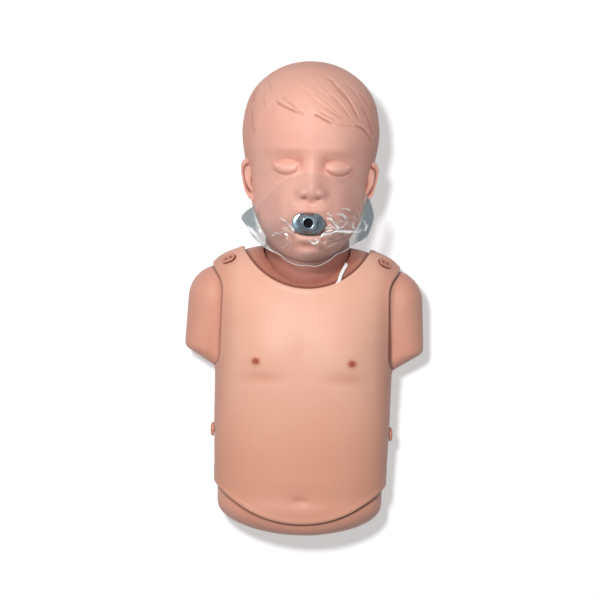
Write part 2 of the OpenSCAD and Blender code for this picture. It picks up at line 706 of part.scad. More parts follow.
// Mouthpiece: oval seat over the lips, domed valve housing and a tube into the airway
seat_top = lips_z + 4;
seat_w = 34;
seat_l = 21;
socket_l = 26;       // length of the tube below the seat
tube_top = seat_top - socket_l;
dome_h = 8;
module mouthpiece() {
    color([0.42, 0.50, 0.54]) translate([0, mouth_y, 0]) difference() {
        union() {
            translate([0, 0, seat_top - 2]) linear_extrude(2) button_face(seat_w, seat_l);
            translate([0, 0, seat_top - 0.1]) rotate_extrude($fn = 64)
                polygon([[0, 0], [10.2, 0], [10, 2], [9.2, 4.4], [7.8, 6.6], [6.2, dome_h], [0, dome_h]]);
            translate([0, 0, tube_top + 0.2]) cylinder(r = 7.2, h = seat_top - tube_top - 1, $fn = 48);
        }
        translate([0, 0, seat_top - 1]) cylinder(r = port_r, h = 20, $fn = 48);
        translate([0, 0, seat_top - 60]) cylinder(r = 5.8, h = 60.9, $fn = 48);
    }
}
module valve_disc() {
    color("white") translate([0, mouth_y, seat_top - 0.3]) cylinder(r = port_r + 1, h = 0.9, $fn = 48);
}

// Airway tube: from the mouth down into the neck, with a bend
bend_r = 18;
bend_y = mouth_y - bend_r;
module tube_profile() {
    difference() {
        circle(r = tube_r, $fn = 48);
        circle(r = tube_r - tube_wall, $fn = 48);
    }
}
module airway_tube() {
    color([0.80, 0.84, 0.86]) {
        translate([0, mouth_y, pivot_z + bend_r])
            linear_extrude(tube_top - pivot_z - bend_r) tube_profile();
        translate([0, bend_y, pivot_z + bend_r]) rotate([0, 90, 0])
            rotate_extrude(angle = 90, $fn = 64) translate([bend_r, 0]) tube_profile();
        translate([0, bend_y, pivot_z]) rotate([90, 0, 0])
            linear_extrude(bend_y - pivot_y - 4) tube_profile();
    }
}

// Face shield: clear film over the nose, held at the mouthpiece and draped on the cheeks
film_y = mouth_y + 1;
film_hole = 0.265;   // share of the film that its hole takes
film_flat = 27;      // radius in which the film lies flat on the seat
function head_front(x, y) =
    let (u = x / kx, v = (y - chin_y) / ky - nose_up, a = atan2(v, u))
    let (t = norm([u, v]) / curve(head_outline, fold(a)), s = min(t, 0.9))
    let (p = head_point(a, s, true, 0)) p[2] - max(0, t - 0.9) * 60;
function film_z(x, y) =
    let (near = [for (dx = [-6, 0, 6]) for (dy = [-6, 0, 6]) head_front(x + dx, y + dy)])
    let (seat = seat_top + 0.3, d = norm([x, y - mouth_y]))
    max(max(near) + 1.2, d < film_flat ? seat : seat - (d - film_flat) * 0.8);
module face_shield() {
    low = function (x, y) film_z(x, y);
    top = function (x, y) film_z(x, y) + film_t;
    shape = super_outline(film_w, film_l, 2.6);
    color([0.80, 0.86, 0.88, 0.5])
        sheet(shape, [0, film_y], top, low, 6, 24, film_hole);
}

torso_shell();
chest_skin();
shoulder_button_left();
shoulder_button_right();
side_button_left();
side_button_right();
spring_base();
base_screws();
compression_spring();
neck_bracket();
bracket_screws();
neck_pins();
neck_washers();
pin_clips();
chest_plate();
plunger();
plunger_screw();
lung_bag();
head_skin();
neck_yoke();
airway_tube();
mouthpiece();
valve_disc();
face_shield();
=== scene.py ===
import math
import bpy
import bmesh
import numpy as np
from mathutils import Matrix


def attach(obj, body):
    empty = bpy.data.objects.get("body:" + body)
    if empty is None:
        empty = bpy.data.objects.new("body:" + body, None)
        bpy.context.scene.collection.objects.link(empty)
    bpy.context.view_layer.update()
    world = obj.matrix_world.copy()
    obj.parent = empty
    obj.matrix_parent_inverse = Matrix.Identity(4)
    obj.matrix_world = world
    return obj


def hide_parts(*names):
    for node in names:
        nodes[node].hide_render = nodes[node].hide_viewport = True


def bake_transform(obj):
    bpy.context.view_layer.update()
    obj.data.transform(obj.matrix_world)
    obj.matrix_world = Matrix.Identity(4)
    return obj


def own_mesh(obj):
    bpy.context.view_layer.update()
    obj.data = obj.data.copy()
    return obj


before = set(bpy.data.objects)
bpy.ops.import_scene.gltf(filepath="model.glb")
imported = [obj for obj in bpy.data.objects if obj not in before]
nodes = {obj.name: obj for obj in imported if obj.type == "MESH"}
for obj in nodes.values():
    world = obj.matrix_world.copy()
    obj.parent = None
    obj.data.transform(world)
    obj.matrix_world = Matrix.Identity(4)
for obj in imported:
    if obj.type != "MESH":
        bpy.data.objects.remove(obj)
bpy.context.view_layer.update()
mm = 0.001

# Camera: straight above the chest, turned a little as in the photograph
cameraSetup = {
    "lookX": -6.0, "lookY": -1.0, "height": 3200.0,
    "fieldWidth": 636.0, "level": 62.0, "roll": 1.78,
}
camData = bpy.data.cameras.new("camera")
cam = bpy.data.objects.new("camera", camData)
bpy.context.scene.collection.objects.link(cam)
bpy.context.scene.camera = cam
cam.location = (cameraSetup["lookX"] * mm, cameraSetup["lookY"] * mm,
                (cameraSetup["height"] + cameraSetup["level"]) * mm)
cam.rotation_euler = (0, 0, math.radians(cameraSetup["roll"]))
camData.sensor_width = 36.0
camData.lens = 36.0 * cameraSetup["height"] / cameraSetup["fieldWidth"]
camData.clip_end = 50.0
print("camera is set")


# Curves and soft shapes

def smoothRows(rows, x):  # curve through rows of position and value
    t = np.array(rows, float)
    px, pv = t[:, 0], t[:, 1]
    lean = np.zeros(len(px))
    lean[1:-1] = (pv[2:] - pv[:-2]) / (px[2:] - px[:-2])
    x = np.asarray(x, float)
    i = np.clip(np.searchsorted(px, x, side="right") - 1, 0, len(px) - 2)
    h = px[i + 1] - px[i]
    s = np.clip((x - px[i]) / h, 0, 1)
    return (pv[i] * (1 + 2 * s) * (1 - s) ** 2 + h * lean[i] * s * (1 - s) ** 2
            + pv[i + 1] * s ** 2 * (3 - 2 * s) + h * lean[i + 1] * s ** 2 * (s - 1))


def bell(d, s):
    return np.exp(-(np.asarray(d, float) / s) ** 2)


def easeStep(t):
    s = np.clip(t, 0, 1)
    return s * s * (3 - 2 * s)


def blendTo(a, b, s):
    return a + (b - a) * s


def softMax(a, b, k):  # rounded corner where two fields meet
    h = np.clip(0.5 + 0.5 * (a - b) / k, 0, 1)
    return blendTo(b, a, h) + k * h * (1 - h)


def waveNoise(x, y, seed, octaves=3):  # soft repeatable noise of about plus or minus one
    rng = np.random.default_rng(seed)
    total = np.zeros(np.broadcast(x, y).shape)
    for o in range(octaves):
        for _ in range(5):
            a, ph, f = rng.uniform(0, 6.283), rng.uniform(0, 6.283), 2.0 ** o * rng.uniform(0.7, 1.3)
            total += np.sin(f * (x * math.cos(a) + y * math.sin(a)) + ph) / 2.2 ** o / 3.2
    return total


def strokeMask(x, y, path, width, taper=True):  # soft line along a path of points
    best = np.full(np.broadcast(x, y).shape, 1e9)
    along = np.zeros_like(best)
    p = np.array(path, float)
    n = len(p) - 1
    for i in range(n):
        d = p[i + 1] - p[i]
        t = np.clip(((x - p[i, 0]) * d[0] + (y - p[i, 1]) * d[1]) / (d @ d), 0, 1)
        r = np.hypot(x - p[i, 0] - d[0] * t, y - p[i, 1] - d[1] * t)
        near = r < best
        best = np.where(near, r, best)
        along = np.where(near, (i + t) / n, along)
    ends = np.clip(4 * along * (1 - along) * 1.6, 0, 1) if taper else 1.0
    return bell(best, width) * ends


# Mesh making

def newPiece(name, points, faces, body, material, smooth=True, values=None):
    mesh = bpy.data.meshes.new(name)
    rows = faces.tolist() if isinstance(faces, np.ndarray) else faces
    mesh.from_pydata((np.asarray(points, float)[:, :3] * mm).tolist(), [], rows)
    for key, data in (values or {}).items():
        layer = mesh.attributes.new(key, "FLOAT", "POINT")
        layer.data.foreach_set("value", np.asarray(data, np.float32))
    if smooth:
        mesh.polygons.foreach_set("use_smooth", np.ones(len(mesh.polygons), bool))
    mesh.update()
    piece = bpy.data.objects.new(name, mesh)
    bpy.context.scene.collection.objects.link(piece)
    piece.data.materials.append(material)
    if body:
        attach(piece, body)
    return piece


def gridFaces(rows, cols, closed=False, start=0):
    i = np.arange(rows - 1)[:, None]
    j = np.arange(cols if closed else cols - 1)[None, :]
    k = (j + 1) % cols
    a, b = start + i * cols + j, start + i * cols + k
    return np.stack([a, b, b + cols, a + cols], -1).reshape(-1, 4)


def asTriangles(quads):
    return np.vstack([quads[:, [0, 1, 2]], quads[:, [0, 2, 3]]])


def cutMesh(points, tris, field, keepAll=False):  # keeps field below 0, with a clean edge on 0
    edges = np.sort(np.vstack([tris[:, [0, 1]], tris[:, [1, 2]], tris[:, [2, 0]]]), axis=1)
    edges, where = np.unique(edges, axis=0, return_inverse=True)
    where = where.reshape(-1)
    fa, fb = field[edges[:, 0]], field[edges[:, 1]]
    crossed = (fa < 0) != (fb < 0)
    w = (fa[crossed] / (fa[crossed] - fb[crossed]))[:, None]
    fresh = points[edges[crossed, 0]] * (1 - w) + points[edges[crossed, 1]] * w
    made = np.full(len(edges), -1)
    made[crossed] = len(points) + np.arange(int(crossed.sum()))
    cut = made[where].reshape(3, -1).T  # new point on each side of a triangle
    allPoints = np.vstack([points, fresh])
    low = (field[tris] < 0).sum(1)
    result = [tris[low == 3]] + ([tris[low == 0]] if keepAll else [])
    for count, first in ((1, True), (2, False)):
        pick = low == count
        t, c, inside = tris[pick], cut[pick], field[tris[pick]] < 0
        odd = np.argmax(inside if first else ~inside, axis=1)
        r = np.arange(len(t))
        a, b, d = t[r, odd], t[r, (odd + 1) % 3], t[r, (odd + 2) % 3]
        ab, da = c[r, odd], c[r, (odd + 2) % 3]
        tip = np.stack([a, ab, da], 1)
        rest = [np.stack([ab, b, d], 1), np.stack([ab, d, da], 1)]
        if first or keepAll:
            result.append(tip)
        if not first or keepAll:
            result += rest
    tris = np.vstack(result)
    used, tris = np.unique(tris, return_inverse=True)
    values = np.concatenate([field, np.zeros(len(fresh))])[used]
    return allPoints[used], tris.reshape(-1, 3), values


def borderLoops(tris):  # edges with one face, in the direction of that face
    e = np.vstack([tris[:, [0, 1]], tris[:, [1, 2]], tris[:, [2, 0]]])
    key = np.sort(e, axis=1)
    _, inv, count = np.unique(key, axis=0, return_inverse=True, return_counts=True)
    return e[count[inv.reshape(-1)] == 1]


def vertexNormals(points, tris):
    p = points[:, :3]
    n = np.cross(p[tris[:, 1]] - p[tris[:, 0]], p[tris[:, 2]] - p[tris[:, 0]])
    total = np.zeros_like(p)
    for k in range(3):
        np.add.at(total, tris[:, k], n)
    return total / np.maximum(np.linalg.norm(total, axis=1), 1e-12)[:, None]


def ringBand(rings):  # rows of closed rings joined into one surface
    pts = np.array(rings, float)
    return pts.reshape(-1, 3), gridFaces(pts.shape[0], pts.shape[1], True)


def stadium(width, length, n):  # oval outline of straight sides and round ends
    a = np.linspace(0, 2 * np.pi, n, endpoint=False)
    r = length / 2
    return np.stack([np.sign(np.cos(a)) * (width - length) / 2 * np.clip(abs(np.cos(a)) * 3, 0, 1)
                     + r * np.cos(a), r * np.sin(a)], 1)


# Shader groups shared by the materials

def socketIn(group, name, kind, value):
    s = group.interface.new_socket(name=name, in_out="INPUT", socket_type="NodeSocket" + kind)
    s.default_value = value


def addNode(tree, kind, place=(0, 0), **settings):
    n = tree.nodes.new("ShaderNode" + kind)
    n.location = place
    for key, value in settings.items():
        setattr(n, key, value)
    return n


def setInputs(n, **values):
    for key, value in values.items():
        n.inputs[key.replace("_", " ")].default_value = value
    return n


def makeGroup(name, inputs, outputs):
    group = bpy.data.node_groups.new(name, "ShaderNodeTree")
    for key, kind, value in inputs:
        socketIn(group, key, kind, value)
    for key, kind in outputs:
        group.interface.new_socket(name=key, in_out="OUTPUT", socket_type="NodeSocket" + kind)
    start, end = addNode(group, "Math"), None
    group.nodes.remove(start)
    start = group.nodes.new("NodeGroupInput")
    end = group.nodes.new("NodeGroupOutput")
    start.location, end.location = (-900, 0), (700, 0)
    return group, start, end


# Mottled moulded colour: a base tone with cloudy warmer and paler patches and fine specks
mottle, mIn, mOut = makeGroup("mottledColour", [
    ("Base", "Color", (0.8, 0.5, 0.4, 1)), ("Warm", "Color", (0.7, 0.3, 0.25, 1)),
    ("Pale", "Color", (0.9, 0.7, 0.6, 1)), ("Patch Size", "Float", 30.0),
    ("Warm Amount", "Float", 0.25), ("Pale Amount", "Float", 0.2), ("Speck Amount", "Float", 0.06)],
    [("Color", "Color")])
mCoord = addNode(mottle, "TexCoord", (-900, -300))
mPatch = setInputs(addNode(mottle, "TexNoise", (-640, 120)), Detail=3.0, Roughness=0.55)
mPale = setInputs(addNode(mottle, "TexNoise", (-640, -120), noise_dimensions="4D"), Detail=2.0, W=4.0)
mSpeck = setInputs(addNode(mottle, "TexNoise", (-640, -360)), Scale=900.0, Detail=1.0)
mix1 = addNode(mottle, "Mix", (-100, 120), data_type="RGBA")
mix2 = addNode(mottle, "Mix", (120, 60), data_type="RGBA")
mix3 = addNode(mottle, "Mix", (340, 0), data_type="RGBA", blend_type="MULTIPLY")
for n in (mPatch, mPale, mSpeck):
    mottle.links.new(mCoord.outputs["Object"], n.inputs["Vector"])
mottle.links.new(mIn.outputs["Patch Size"], mPatch.inputs["Scale"])
mottle.links.new(mIn.outputs["Patch Size"], mPale.inputs["Scale"])
rampNodes = []
for src, low, high, target, amount in ((mPatch, 0.42, 0.72, mix1, "Warm Amount"),
                                       (mPale, 0.45, 0.75, mix2, "Pale Amount"),
                                       (mSpeck, 0.48, 0.7, mix3, "Speck Amount")):
    r = setInputs(addNode(mottle, "MapRange", (-420, 0)))
    r.inputs["From Min"].default_value, r.inputs["From Max"].default_value = low, high
    m = addNode(mottle, "Math", (-260, 0), operation="MULTIPLY")
    mottle.links.new(src.outputs["Fac"], r.inputs["Value"])
    mottle.links.new(r.outputs["Result"], m.inputs[0])
    mottle.links.new(mIn.outputs[amount], m.inputs[1])
    mottle.links.new(m.outputs[0], target.inputs["Factor"])
mottle.links.new(mIn.outputs["Base"], mix1.inputs["A"])
mottle.links.new(mIn.outputs["Warm"], mix1.inputs["B"])
mottle.links.new(mix1.outputs["Result"], mix2.inputs["A"])
mottle.links.new(mIn.outputs["Pale"], mix2.inputs["B"])
mottle.links.new(mix2.outputs["Result"], mix3.inputs["A"])
mix3.inputs["B"].default_value = (0.62, 0.42, 0.36, 1)
mottle.links.new(mix3.outputs["Result"], mOut.inputs["Color"])

# Moulded surface: fine grain height and a roughness that varies with handling
grain, gIn, gOut = makeGroup("mouldedGrain", [
    ("Grain Size", "Float", 700.0), ("Wave Size", "Float", 45.0), ("Grain", "Float", 0.35),
    ("Roughness", "Float", 0.5), ("Variation", "Float", 0.12)],
    [("Height", "Float"), ("Roughness", "Float")])
gCoord = addNode(grain, "TexCoord", (-900, -300))
gFine = setInputs(addNode(grain, "TexNoise", (-640, 150)), Detail=2.0, Roughness=0.6)
gWave = setInputs(addNode(grain, "TexNoise", (-640, -150)), Detail=3.0)
for n, size in ((gFine, "Grain Size"), (gWave, "Wave Size")):
    grain.links.new(gCoord.outputs["Object"], n.inputs["Vector"])
    grain.links.new(gIn.outputs[size], n.inputs["Scale"])
gScale = addNode(grain, "Math", (-380, 150), operation="MULTIPLY")
gSum = addNode(grain, "Math", (-160, 80), operation="ADD")
gRough = addNode(grain, "MapRange", (-380, -250))
gRough.inputs["To Min"].default_value, gRough.inputs["To Max"].default_value = -1.0, 1.0
gVary = addNode(grain, "Math", (-160, -250), operation="MULTIPLY")
gAdd = addNode(grain, "Math", (60, -250), operation="ADD", use_clamp=True)
grain.links.new(gFine.outputs["Fac"], gScale.inputs[0])
grain.links.new(gIn.outputs["Grain"], gScale.inputs[1])
grain.links.new(gScale.outputs[0], gSum.inputs[0])
grain.links.new(gWave.outputs["Fac"], gSum.inputs[1])
grain.links.new(gSum.outputs[0], gOut.inputs["Height"])
grain.links.new(gWave.outputs["Fac"], gRough.inputs["Value"])
grain.links.new(gRough.outputs["Result"], gVary.inputs[0])
grain.links.new(gIn.outputs["Variation"], gVary.inputs[1])
grain.links.new(gVary.outputs[0], gAdd.inputs[0])
grain.links.new(gIn.outputs["Roughness"], gAdd.inputs[1])
grain.links.new(gAdd.outputs[0], gOut.inputs["Roughness"])

# Soft mark: turns a value stored on the mesh into a mask, with a ragged edge
softMark, sIn, sOut = makeGroup("softMark", [
    ("Value", "Float", 0.0), ("From", "Float", 0.0), ("To", "Float", 1.0),
    ("Ragged", "Float", 0.15), ("Amount", "Float", 1.0)], [("Mask", "Float")])
sCoord = addNode(softMark, "TexCoord", (-900, -300))
sNoise = setInputs(addNode(softMark, "TexNoise", (-640, -200)), Scale=380.0, Detail=2.0)
sOff = addNode(softMark, "Math", (-420, -200), operation="SUBTRACT")
sOff.inputs[1].default_value = 0.5
sMul = addNode(softMark, "Math", (-240, -200), operation="MULTIPLY")
sAdd = addNode(softMark, "Math", (-60, 0), operation="ADD")
sMap = addNode(softMark, "MapRange", (140, 0))
sOut2 = addNode(softMark, "Math", (340, 0), operation="MULTIPLY")
softMark.links.new(sCoord.outputs["Object"], sNoise.inputs["Vector"])
softMark.links.new(sNoise.outputs["Fac"], sOff.inputs[0])
softMark.links.new(sOff.outputs[0], sMul.inputs[0])
softMark.links.new(sIn.outputs["Ragged"], sMul.inputs[1])
softMark.links.new(sIn.outputs["Value"], sAdd.inputs[0])
softMark.links.new(sMul.outputs[0], sAdd.inputs[1])
softMark.links.new(sAdd.outputs[0], sMap.inputs["Value"])
softMark.links.new(sIn.outputs["From"], sMap.inputs["From Min"])
softMark.links.new(sIn.outputs["To"], sMap.inputs["From Max"])
softMark.links.new(sMap.outputs["Result"], sOut2.inputs[0])
softMark.links.new(sIn.outputs["Amount"], sOut2.inputs[1])
softMark.links.new(sOut2.outputs[0], sOut.inputs["Mask"])


def plainLinear(rgb):  # screen colour 0 to 255 into the renderer's colour
    c = np.array(rgb, float) / 255
    v = np.where(c <= 0.04045, c / 12.92, ((c + 0.055) / 1.055) ** 2.4)
    return (float(v[0]), float(v[1]), float(v[2]), 1.0)


def placeGroup(tree, group, place, **values):
    g = addNode(tree, "Group", place, node_tree=group)
    return setInputs(g, **values)


def mouldedMaterial(name, look, marks=()):  # marks: (attribute, from, to, ragged, amount, colour)
    mat = bpy.data.materials.new(name)
    mat.use_nodes = True
    tree = mat.node_tree
    shader = tree.nodes["Principled BSDF"]
    base = placeGroup(tree, mottle, (-900, 300), Base=plainLinear(look["base"]),
                      Warm=plainLinear(look["warm"]), Pale=plainLinear(look["pale"]),
                      Patch_Size=look.get("patch", 22.0), Warm_Amount=look.get("warmAmount", 0.3),
                      Pale_Amount=look.get("paleAmount", 0.25), Speck_Amount=look.get("speck", 0.1))
    colour = base.outputs["Color"]
    for k, (key, low, high, ragged, amount, tint) in enumerate(marks):
        value = addNode(tree, "Attribute", (-900, -200 - 220 * k), attribute_name=key)
        mark = placeGroup(tree, softMark, (-680, -200 - 220 * k), From=low, To=high,
                          Ragged=ragged, Amount=amount)
        tree.links.new(value.outputs["Fac"], mark.inputs["Value"])
        mix = addNode(tree, "Mix", (-460 + 60 * k, 200 - 80 * k), data_type="RGBA")
        tree.links.new(mark.outputs["Mask"], mix.inputs["Factor"])
        tree.links.new(colour, mix.inputs["A"])
        mix.inputs["B"].default_value = plainLinear(tint)
        colour = mix.outputs["Result"]
    tree.links.new(colour, shader.inputs["Base Color"])
    surface = placeGroup(tree, grain, (-680, 560), Grain_Size=look.get("grainSize", 700.0),
                         Wave_Size=look.get("waveSize", 45.0), Grain=look.get("grain", 0.35),
                         Roughness=look["rough"], Variation=look.get("vary", 0.12))
    tree.links.new(surface.outputs["Roughness"], shader.inputs["Roughness"])
    bump = setInputs(addNode(tree, "Bump", (-260, -300)), Strength=look.get("bump", 0.25),
                     Distance=look.get("depth", 0.0006))
    tree.links.new(surface.outputs["Height"], bump.inputs["Height"])
    tree.links.new(bump.outputs["Normal"], shader.inputs["Normal"])
    shader.inputs["Metallic"].default_value = look.get("metal", 0.0)
    shader.inputs["Specular IOR Level"].default_value = look.get("specular", 0.4)
    shader.inputs["Coat Weight"].default_value = look.get("coat", 0.0)
    shader.inputs["Coat Roughness"].default_value = look.get("coatRough", 0.3)
    return mat


vinylLook = {
    "base": (226, 164, 142), "warm": (210, 136, 112), "pale": (236, 180, 158), "patch": 18.0,
    "rough": 0.46, "vary": 0.1, "bump": 0.18, "grain": 0.3, "specular": 0.35,
}
headLook = {
    "base": (240, 180, 162), "warm": (228, 150, 130), "pale": (246, 198, 180), "patch": 26.0,
    "rough": 0.54, "vary": 0.1, "bump": 0.12, "grain": 0.25, "specular": 0.35,
}
skinLook = {
    "base": (240, 184, 160), "warm": (230, 160, 136), "pale": (246, 196, 174), "patch": 14.0,
    "rough": 0.5, "vary": 0.08, "bump": 0.14, "grain": 0.3, "specular": 0.35,
}
# gapShadeTint is painted shade under the chest skin's edge; lipHighlightTint is the pale lower lip with painted
# highlights
gapShadeTint, lipHighlightTint = (104, 48, 36), (252, 200, 184)
vinylMaterial = mouldedMaterial("trunkVinyl", vinylLook, [
    # painted shade on the trunk: a darker collar near the neck, and a dark line under the chest skin's edge
    ("neckShade", 0.1, 1.0, 0.15, 0.8, (150, 86, 70)),
    ("edgeGapShade", 0.2, 1.0, 0.2, 0.9, gapShadeTint)])
headMaterial = mouldedMaterial("headVinyl", headLook, [
    ("hair", 0.2, 1.0, 0.2, 0.55, (238, 180, 160)),
    # painted shade in the face's hollows and hair grooves, darker toward the sides and top of the head
    ("hollowShade", 0.15, 1.0, 0.2, 0.6, (196, 112, 94)),
    # red of the upper lip line, with painted shade in the mouth corners and the groove under the lower lip
    ("lipRedAndShade", 0.2, 0.95, 0.2, 0.75, (176, 92, 78)),
    # pale lower lip, with painted highlights on the upper eyelids and along the hair ridges
    ("lips", 0.15, 0.8, 0.2, 0.85, lipHighlightTint),
    # painted shade in the lash creases, nostrils, mouth opening and hair grooves
    ("darkLineShade", 0.08, 1.0, 0.15, 0.9, (104, 52, 40))])
skinMaterial = mouldedMaterial("chestSkin", skinLook, [
    # painted shade in the crease under the chest and in the navel
    ("hollowShade", 0.1, 1.0, 0.15, 0.5, (206, 132, 112)),
    # painted highlight along the top of the skin's rolled edge
    ("edgeHighlight", 0.2, 1.0, 0.1, 0.35, (248, 208, 186)),
    # painted shade under the skin's rolled edge
    ("edgeGapShade", 0.3, 1.0, 0.1, 0.8, gapShadeTint),
    # painted shade: darker toward the belly and the sides of the chest
    ("bellyAndSideShade", 0.0, 1.0, 0.1, 0.6, (208, 140, 116)),
    ("nippleHalo", 0.2, 1.0, 0.3, 0.45, (208, 124, 100)),
    ("nipple", 0.25, 0.8, 0.3, 0.92, (158, 66, 48))])
studMaterial = mouldedMaterial("studVinyl", {
    "base": (208, 138, 112), "warm": (182, 108, 84), "pale": (220, 156, 130), "rough": 0.45,
    # painted shade in the stud's finger holes and round its foot
    "bump": 0.15, "specular": 0.45}, [("darkLineShade", 0.3, 0.9, 0.1, 0.9, (70, 36, 30))])
nylonMaterial = mouldedMaterial("nylon", {
    "base": (226, 226, 220), "warm": (206, 204, 196), "pale": (238, 238, 234), "rough": 0.42,
    "bump": 0.2, "speck": 0.05})
steelMaterial = mouldedMaterial("zincSteel", {
    "base": (188, 190, 194), "warm": (164, 164, 166), "pale": (206, 208, 212), "rough": 0.3,
    "metal": 1.0, "bump": 0.1, "patch": 60.0, "vary": 0.1, "speck": 0.04})
tubeMaterial = mouldedMaterial("airwayPlastic", {
    "base": (196, 208, 214), "warm": (176, 186, 190), "pale": (214, 224, 230), "rough": 0.22,
    "bump": 0.08, "speck": 0.02, "coat": 0.4, "coatRough": 0.15})
mouthMaterial = mouldedMaterial("mouthPlastic", {
    "base": (58, 80, 96), "warm": (30, 42, 54), "pale": (140, 168, 182), "rough": 0.14,
    "bump": 0.06, "speck": 0.03, "patch": 110.0, "warmAmount": 0.8, "paleAmount": 0.8,
    "coat": 1.0, "coatRough": 0.05, "specular": 0.7, "metal": 0.35})
# valve disc near black: painted shade for the dark port of the mouthpiece
portShadeRubber = mouldedMaterial("valveRubberPortShade", {
    "base": (16, 17, 18), "warm": (10, 10, 11), "pale": (24, 25, 26), "rough": 0.6, "bump": 0.1,
    "specular": 0.05})
for key, mat in {
        "shoulder_button_left": studMaterial, "shoulder_button_right": studMaterial,
        "side_button_left": studMaterial, "side_button_right": studMaterial,
        "spring_base": nylonMaterial, "base_screws": steelMaterial,
        "compression_spring": steelMaterial, "neck_bracket": steelMaterial,
        "bracket_screws": steelMaterial, "neck_pins": steelMaterial, "neck_washers": nylonMaterial,
        "pin_clips": steelMaterial, "chest_plate": nylonMaterial, "plunger": nylonMaterial,
        "plunger_screw": steelMaterial, "neck_yoke": nylonMaterial, "airway_tube": tubeMaterial,
        "valve_disc": portShadeRubber, "mouthpiece": mouthMaterial, "torso_shell": vinylMaterial,
        "chest_skin": skinMaterial, "head_skin": headMaterial, "face_shield": tubeMaterial,
        "lung_bag": tubeMaterial}.items():
    mesh = nodes[key].data
    if not mesh.materials:
        mesh.materials.append(mat)
    for k in range(len(nodes[key].material_slots)):
        nodes[key].material_slots[k].material = mat
print("materials are set")

# Trunk: the same form as the CAD trunk, made finer
trunkForm = {
    "length": 308.0, "baseWidth": 175.0, "chestWidth": 181.0, "shoulderWidth": 200.0,
    "baseHeight": 96.0, "chestHeight": 121.0, "endRound": 34.0, "widest": 0.42,
    "frontSquare": 2.5, "backSquare": 4.0, "backFlat": 3.0, "wall": 3.4, "voxel": 2.3,
}
bottomY, pivotY, pivotZ, chinY, pressY = -250.0, 34.0, 68.0, 39.0, -76.0
topY = bottomY + trunkForm["length"]
neckR = 45.0
bw, cw, sw = trunkForm["baseWidth"], trunkForm["chestWidth"], trunkForm["shoulderWidth"]
bh, rise = trunkForm["baseHeight"], trunkForm["chestHeight"] - trunkForm["baseHeight"]
halfWidthRows = [[0.11, bw / 2], [0.33, cw / 2 - 1], [0.55, cw / 2], [0.67, cw / 2 + 1.5],
                 [0.76, sw / 2 - 5], [0.845, sw / 2], [0.903, sw / 2 - 1], [0.942, sw / 2 - 10],
                 [0.971, sw * 0.355], [0.99, sw * 0.24], [1, sw * 0.11]]
frontRows = [[0.11, bh], [0.2, bh + rise * 0.18], [0.44, bh + rise * 0.6], [0.55, bh + rise * 0.84],
             [0.666, bh + rise], [0.76, bh + rise * 0.94], [0.844, bh + rise * 0.66],
             [0.903, bh + rise * 0.28], [0.942, bh - 3], [0.971, bh - 13], [0.99, bh - 23], [1, bh - 33]]
backRows = [[0.845, 0], [0.903, 4], [0.942, 12], [0.971, 24], [0.99, 36], [1, 47]]
endShare = 0.003


def endCut(f):
    d = f * trunkForm["length"]
    return np.where(d >= trunkForm["endRound"], 1.0,
                    np.sqrt(np.maximum(0, 1 - (1 - np.maximum(d, 0) / trunkForm["endRound"]) ** 2)))


def partWidth(f):
    return smoothRows(halfWidthRows, f) * endCut(f)


def midZ(f):
    return blendTo(smoothRows(backRows, f), smoothRows(frontRows, f), trunkForm["widest"])


def frontZ(f):
    return midZ(f) + (smoothRows(frontRows, f) - midZ(f)) * endCut(f) ** 0.4


def backZ(f):
    return midZ(f) - (midZ(f) - smoothRows(backRows, f)) * endCut(f) ** 0.4


def trunkZ(x, y):
    f = (np.asarray(y, float) - bottomY) / trunkForm["length"]
    w = np.maximum(1, partWidth(f))
    arch = (1 - np.minimum(1, np.abs(x) / w) ** trunkForm["frontSquare"]) ** (1 / trunkForm["frontSquare"])
    return midZ(f) + (frontZ(f) - midZ(f)) * arch


chestRelief = {"nippleX": 50.0, "nippleY": -66.0, "navelY": -212.0}


def relief(x, y):
    ny, u = chestRelief["nippleY"], np.abs(x)
    return (3.2 * bell(u - 44, 30) * bell(y - ny - 8, 30) - 1.1 * bell(y - ny + 17, 7) * bell(u - 44, 26)
            + 1.0 * bell(u - chestRelief["nippleX"], 4.5) * bell(y - ny, 4.5)
            - 2.2 * bell(x, 9) * bell(y - chestRelief["navelY"], 5))


def trunkPoints(angle, share, grow):  # points of the trunk grown outward, angle in radians
    a, f = np.asarray(angle, float), np.asarray(share, float)
    w = partWidth(f) + grow * np.minimum(1, endCut(f) + 0.3)
    y = bottomY - grow + (trunkForm["length"] + 2 * grow) * (f - endShare) / (1 - 2 * endShare)
    c, s = np.cos(a), np.sin(a)
    p = np.where(s >= 0, trunkForm["frontSquare"], trunkForm["backSquare"])
    x = w * np.sign(c) * np.abs(c) ** (2 / p)
    t = np.sign(s) * np.abs(s) ** (2 / p)
    mid, high = midZ(f), frontZ(f) + grow
    low = backZ(f) - np.where(f > 0.85, grow, 0.0)
    z = np.where(t >= 0, mid + (high - mid) * t,
                 np.maximum(low, mid + (mid - low + trunkForm["backFlat"]) * t))
    return x, y + 0 * x, z, t


def shareAt(y, grow=0.0):
    return (y - bottomY + grow) / (trunkForm["length"] + 2 * grow) * (1 - 2 * endShare) + endShare


# Outline of the chest skin as a field: below 0 on the skin, in millimetres
skinCut = {
    "necklineR": 74.0, "necklineY": 84.5, "hemR": 118.0, "hemY": -236.0, "edgeZ": 34.0,
    "armholeX": 86.0, "armpitY": -78.0, "shoulderY": 6.0, "tabY": -157.0, "tabLength": 50.0,
    "tabLow": 22.0, "corner": 3.0,
}


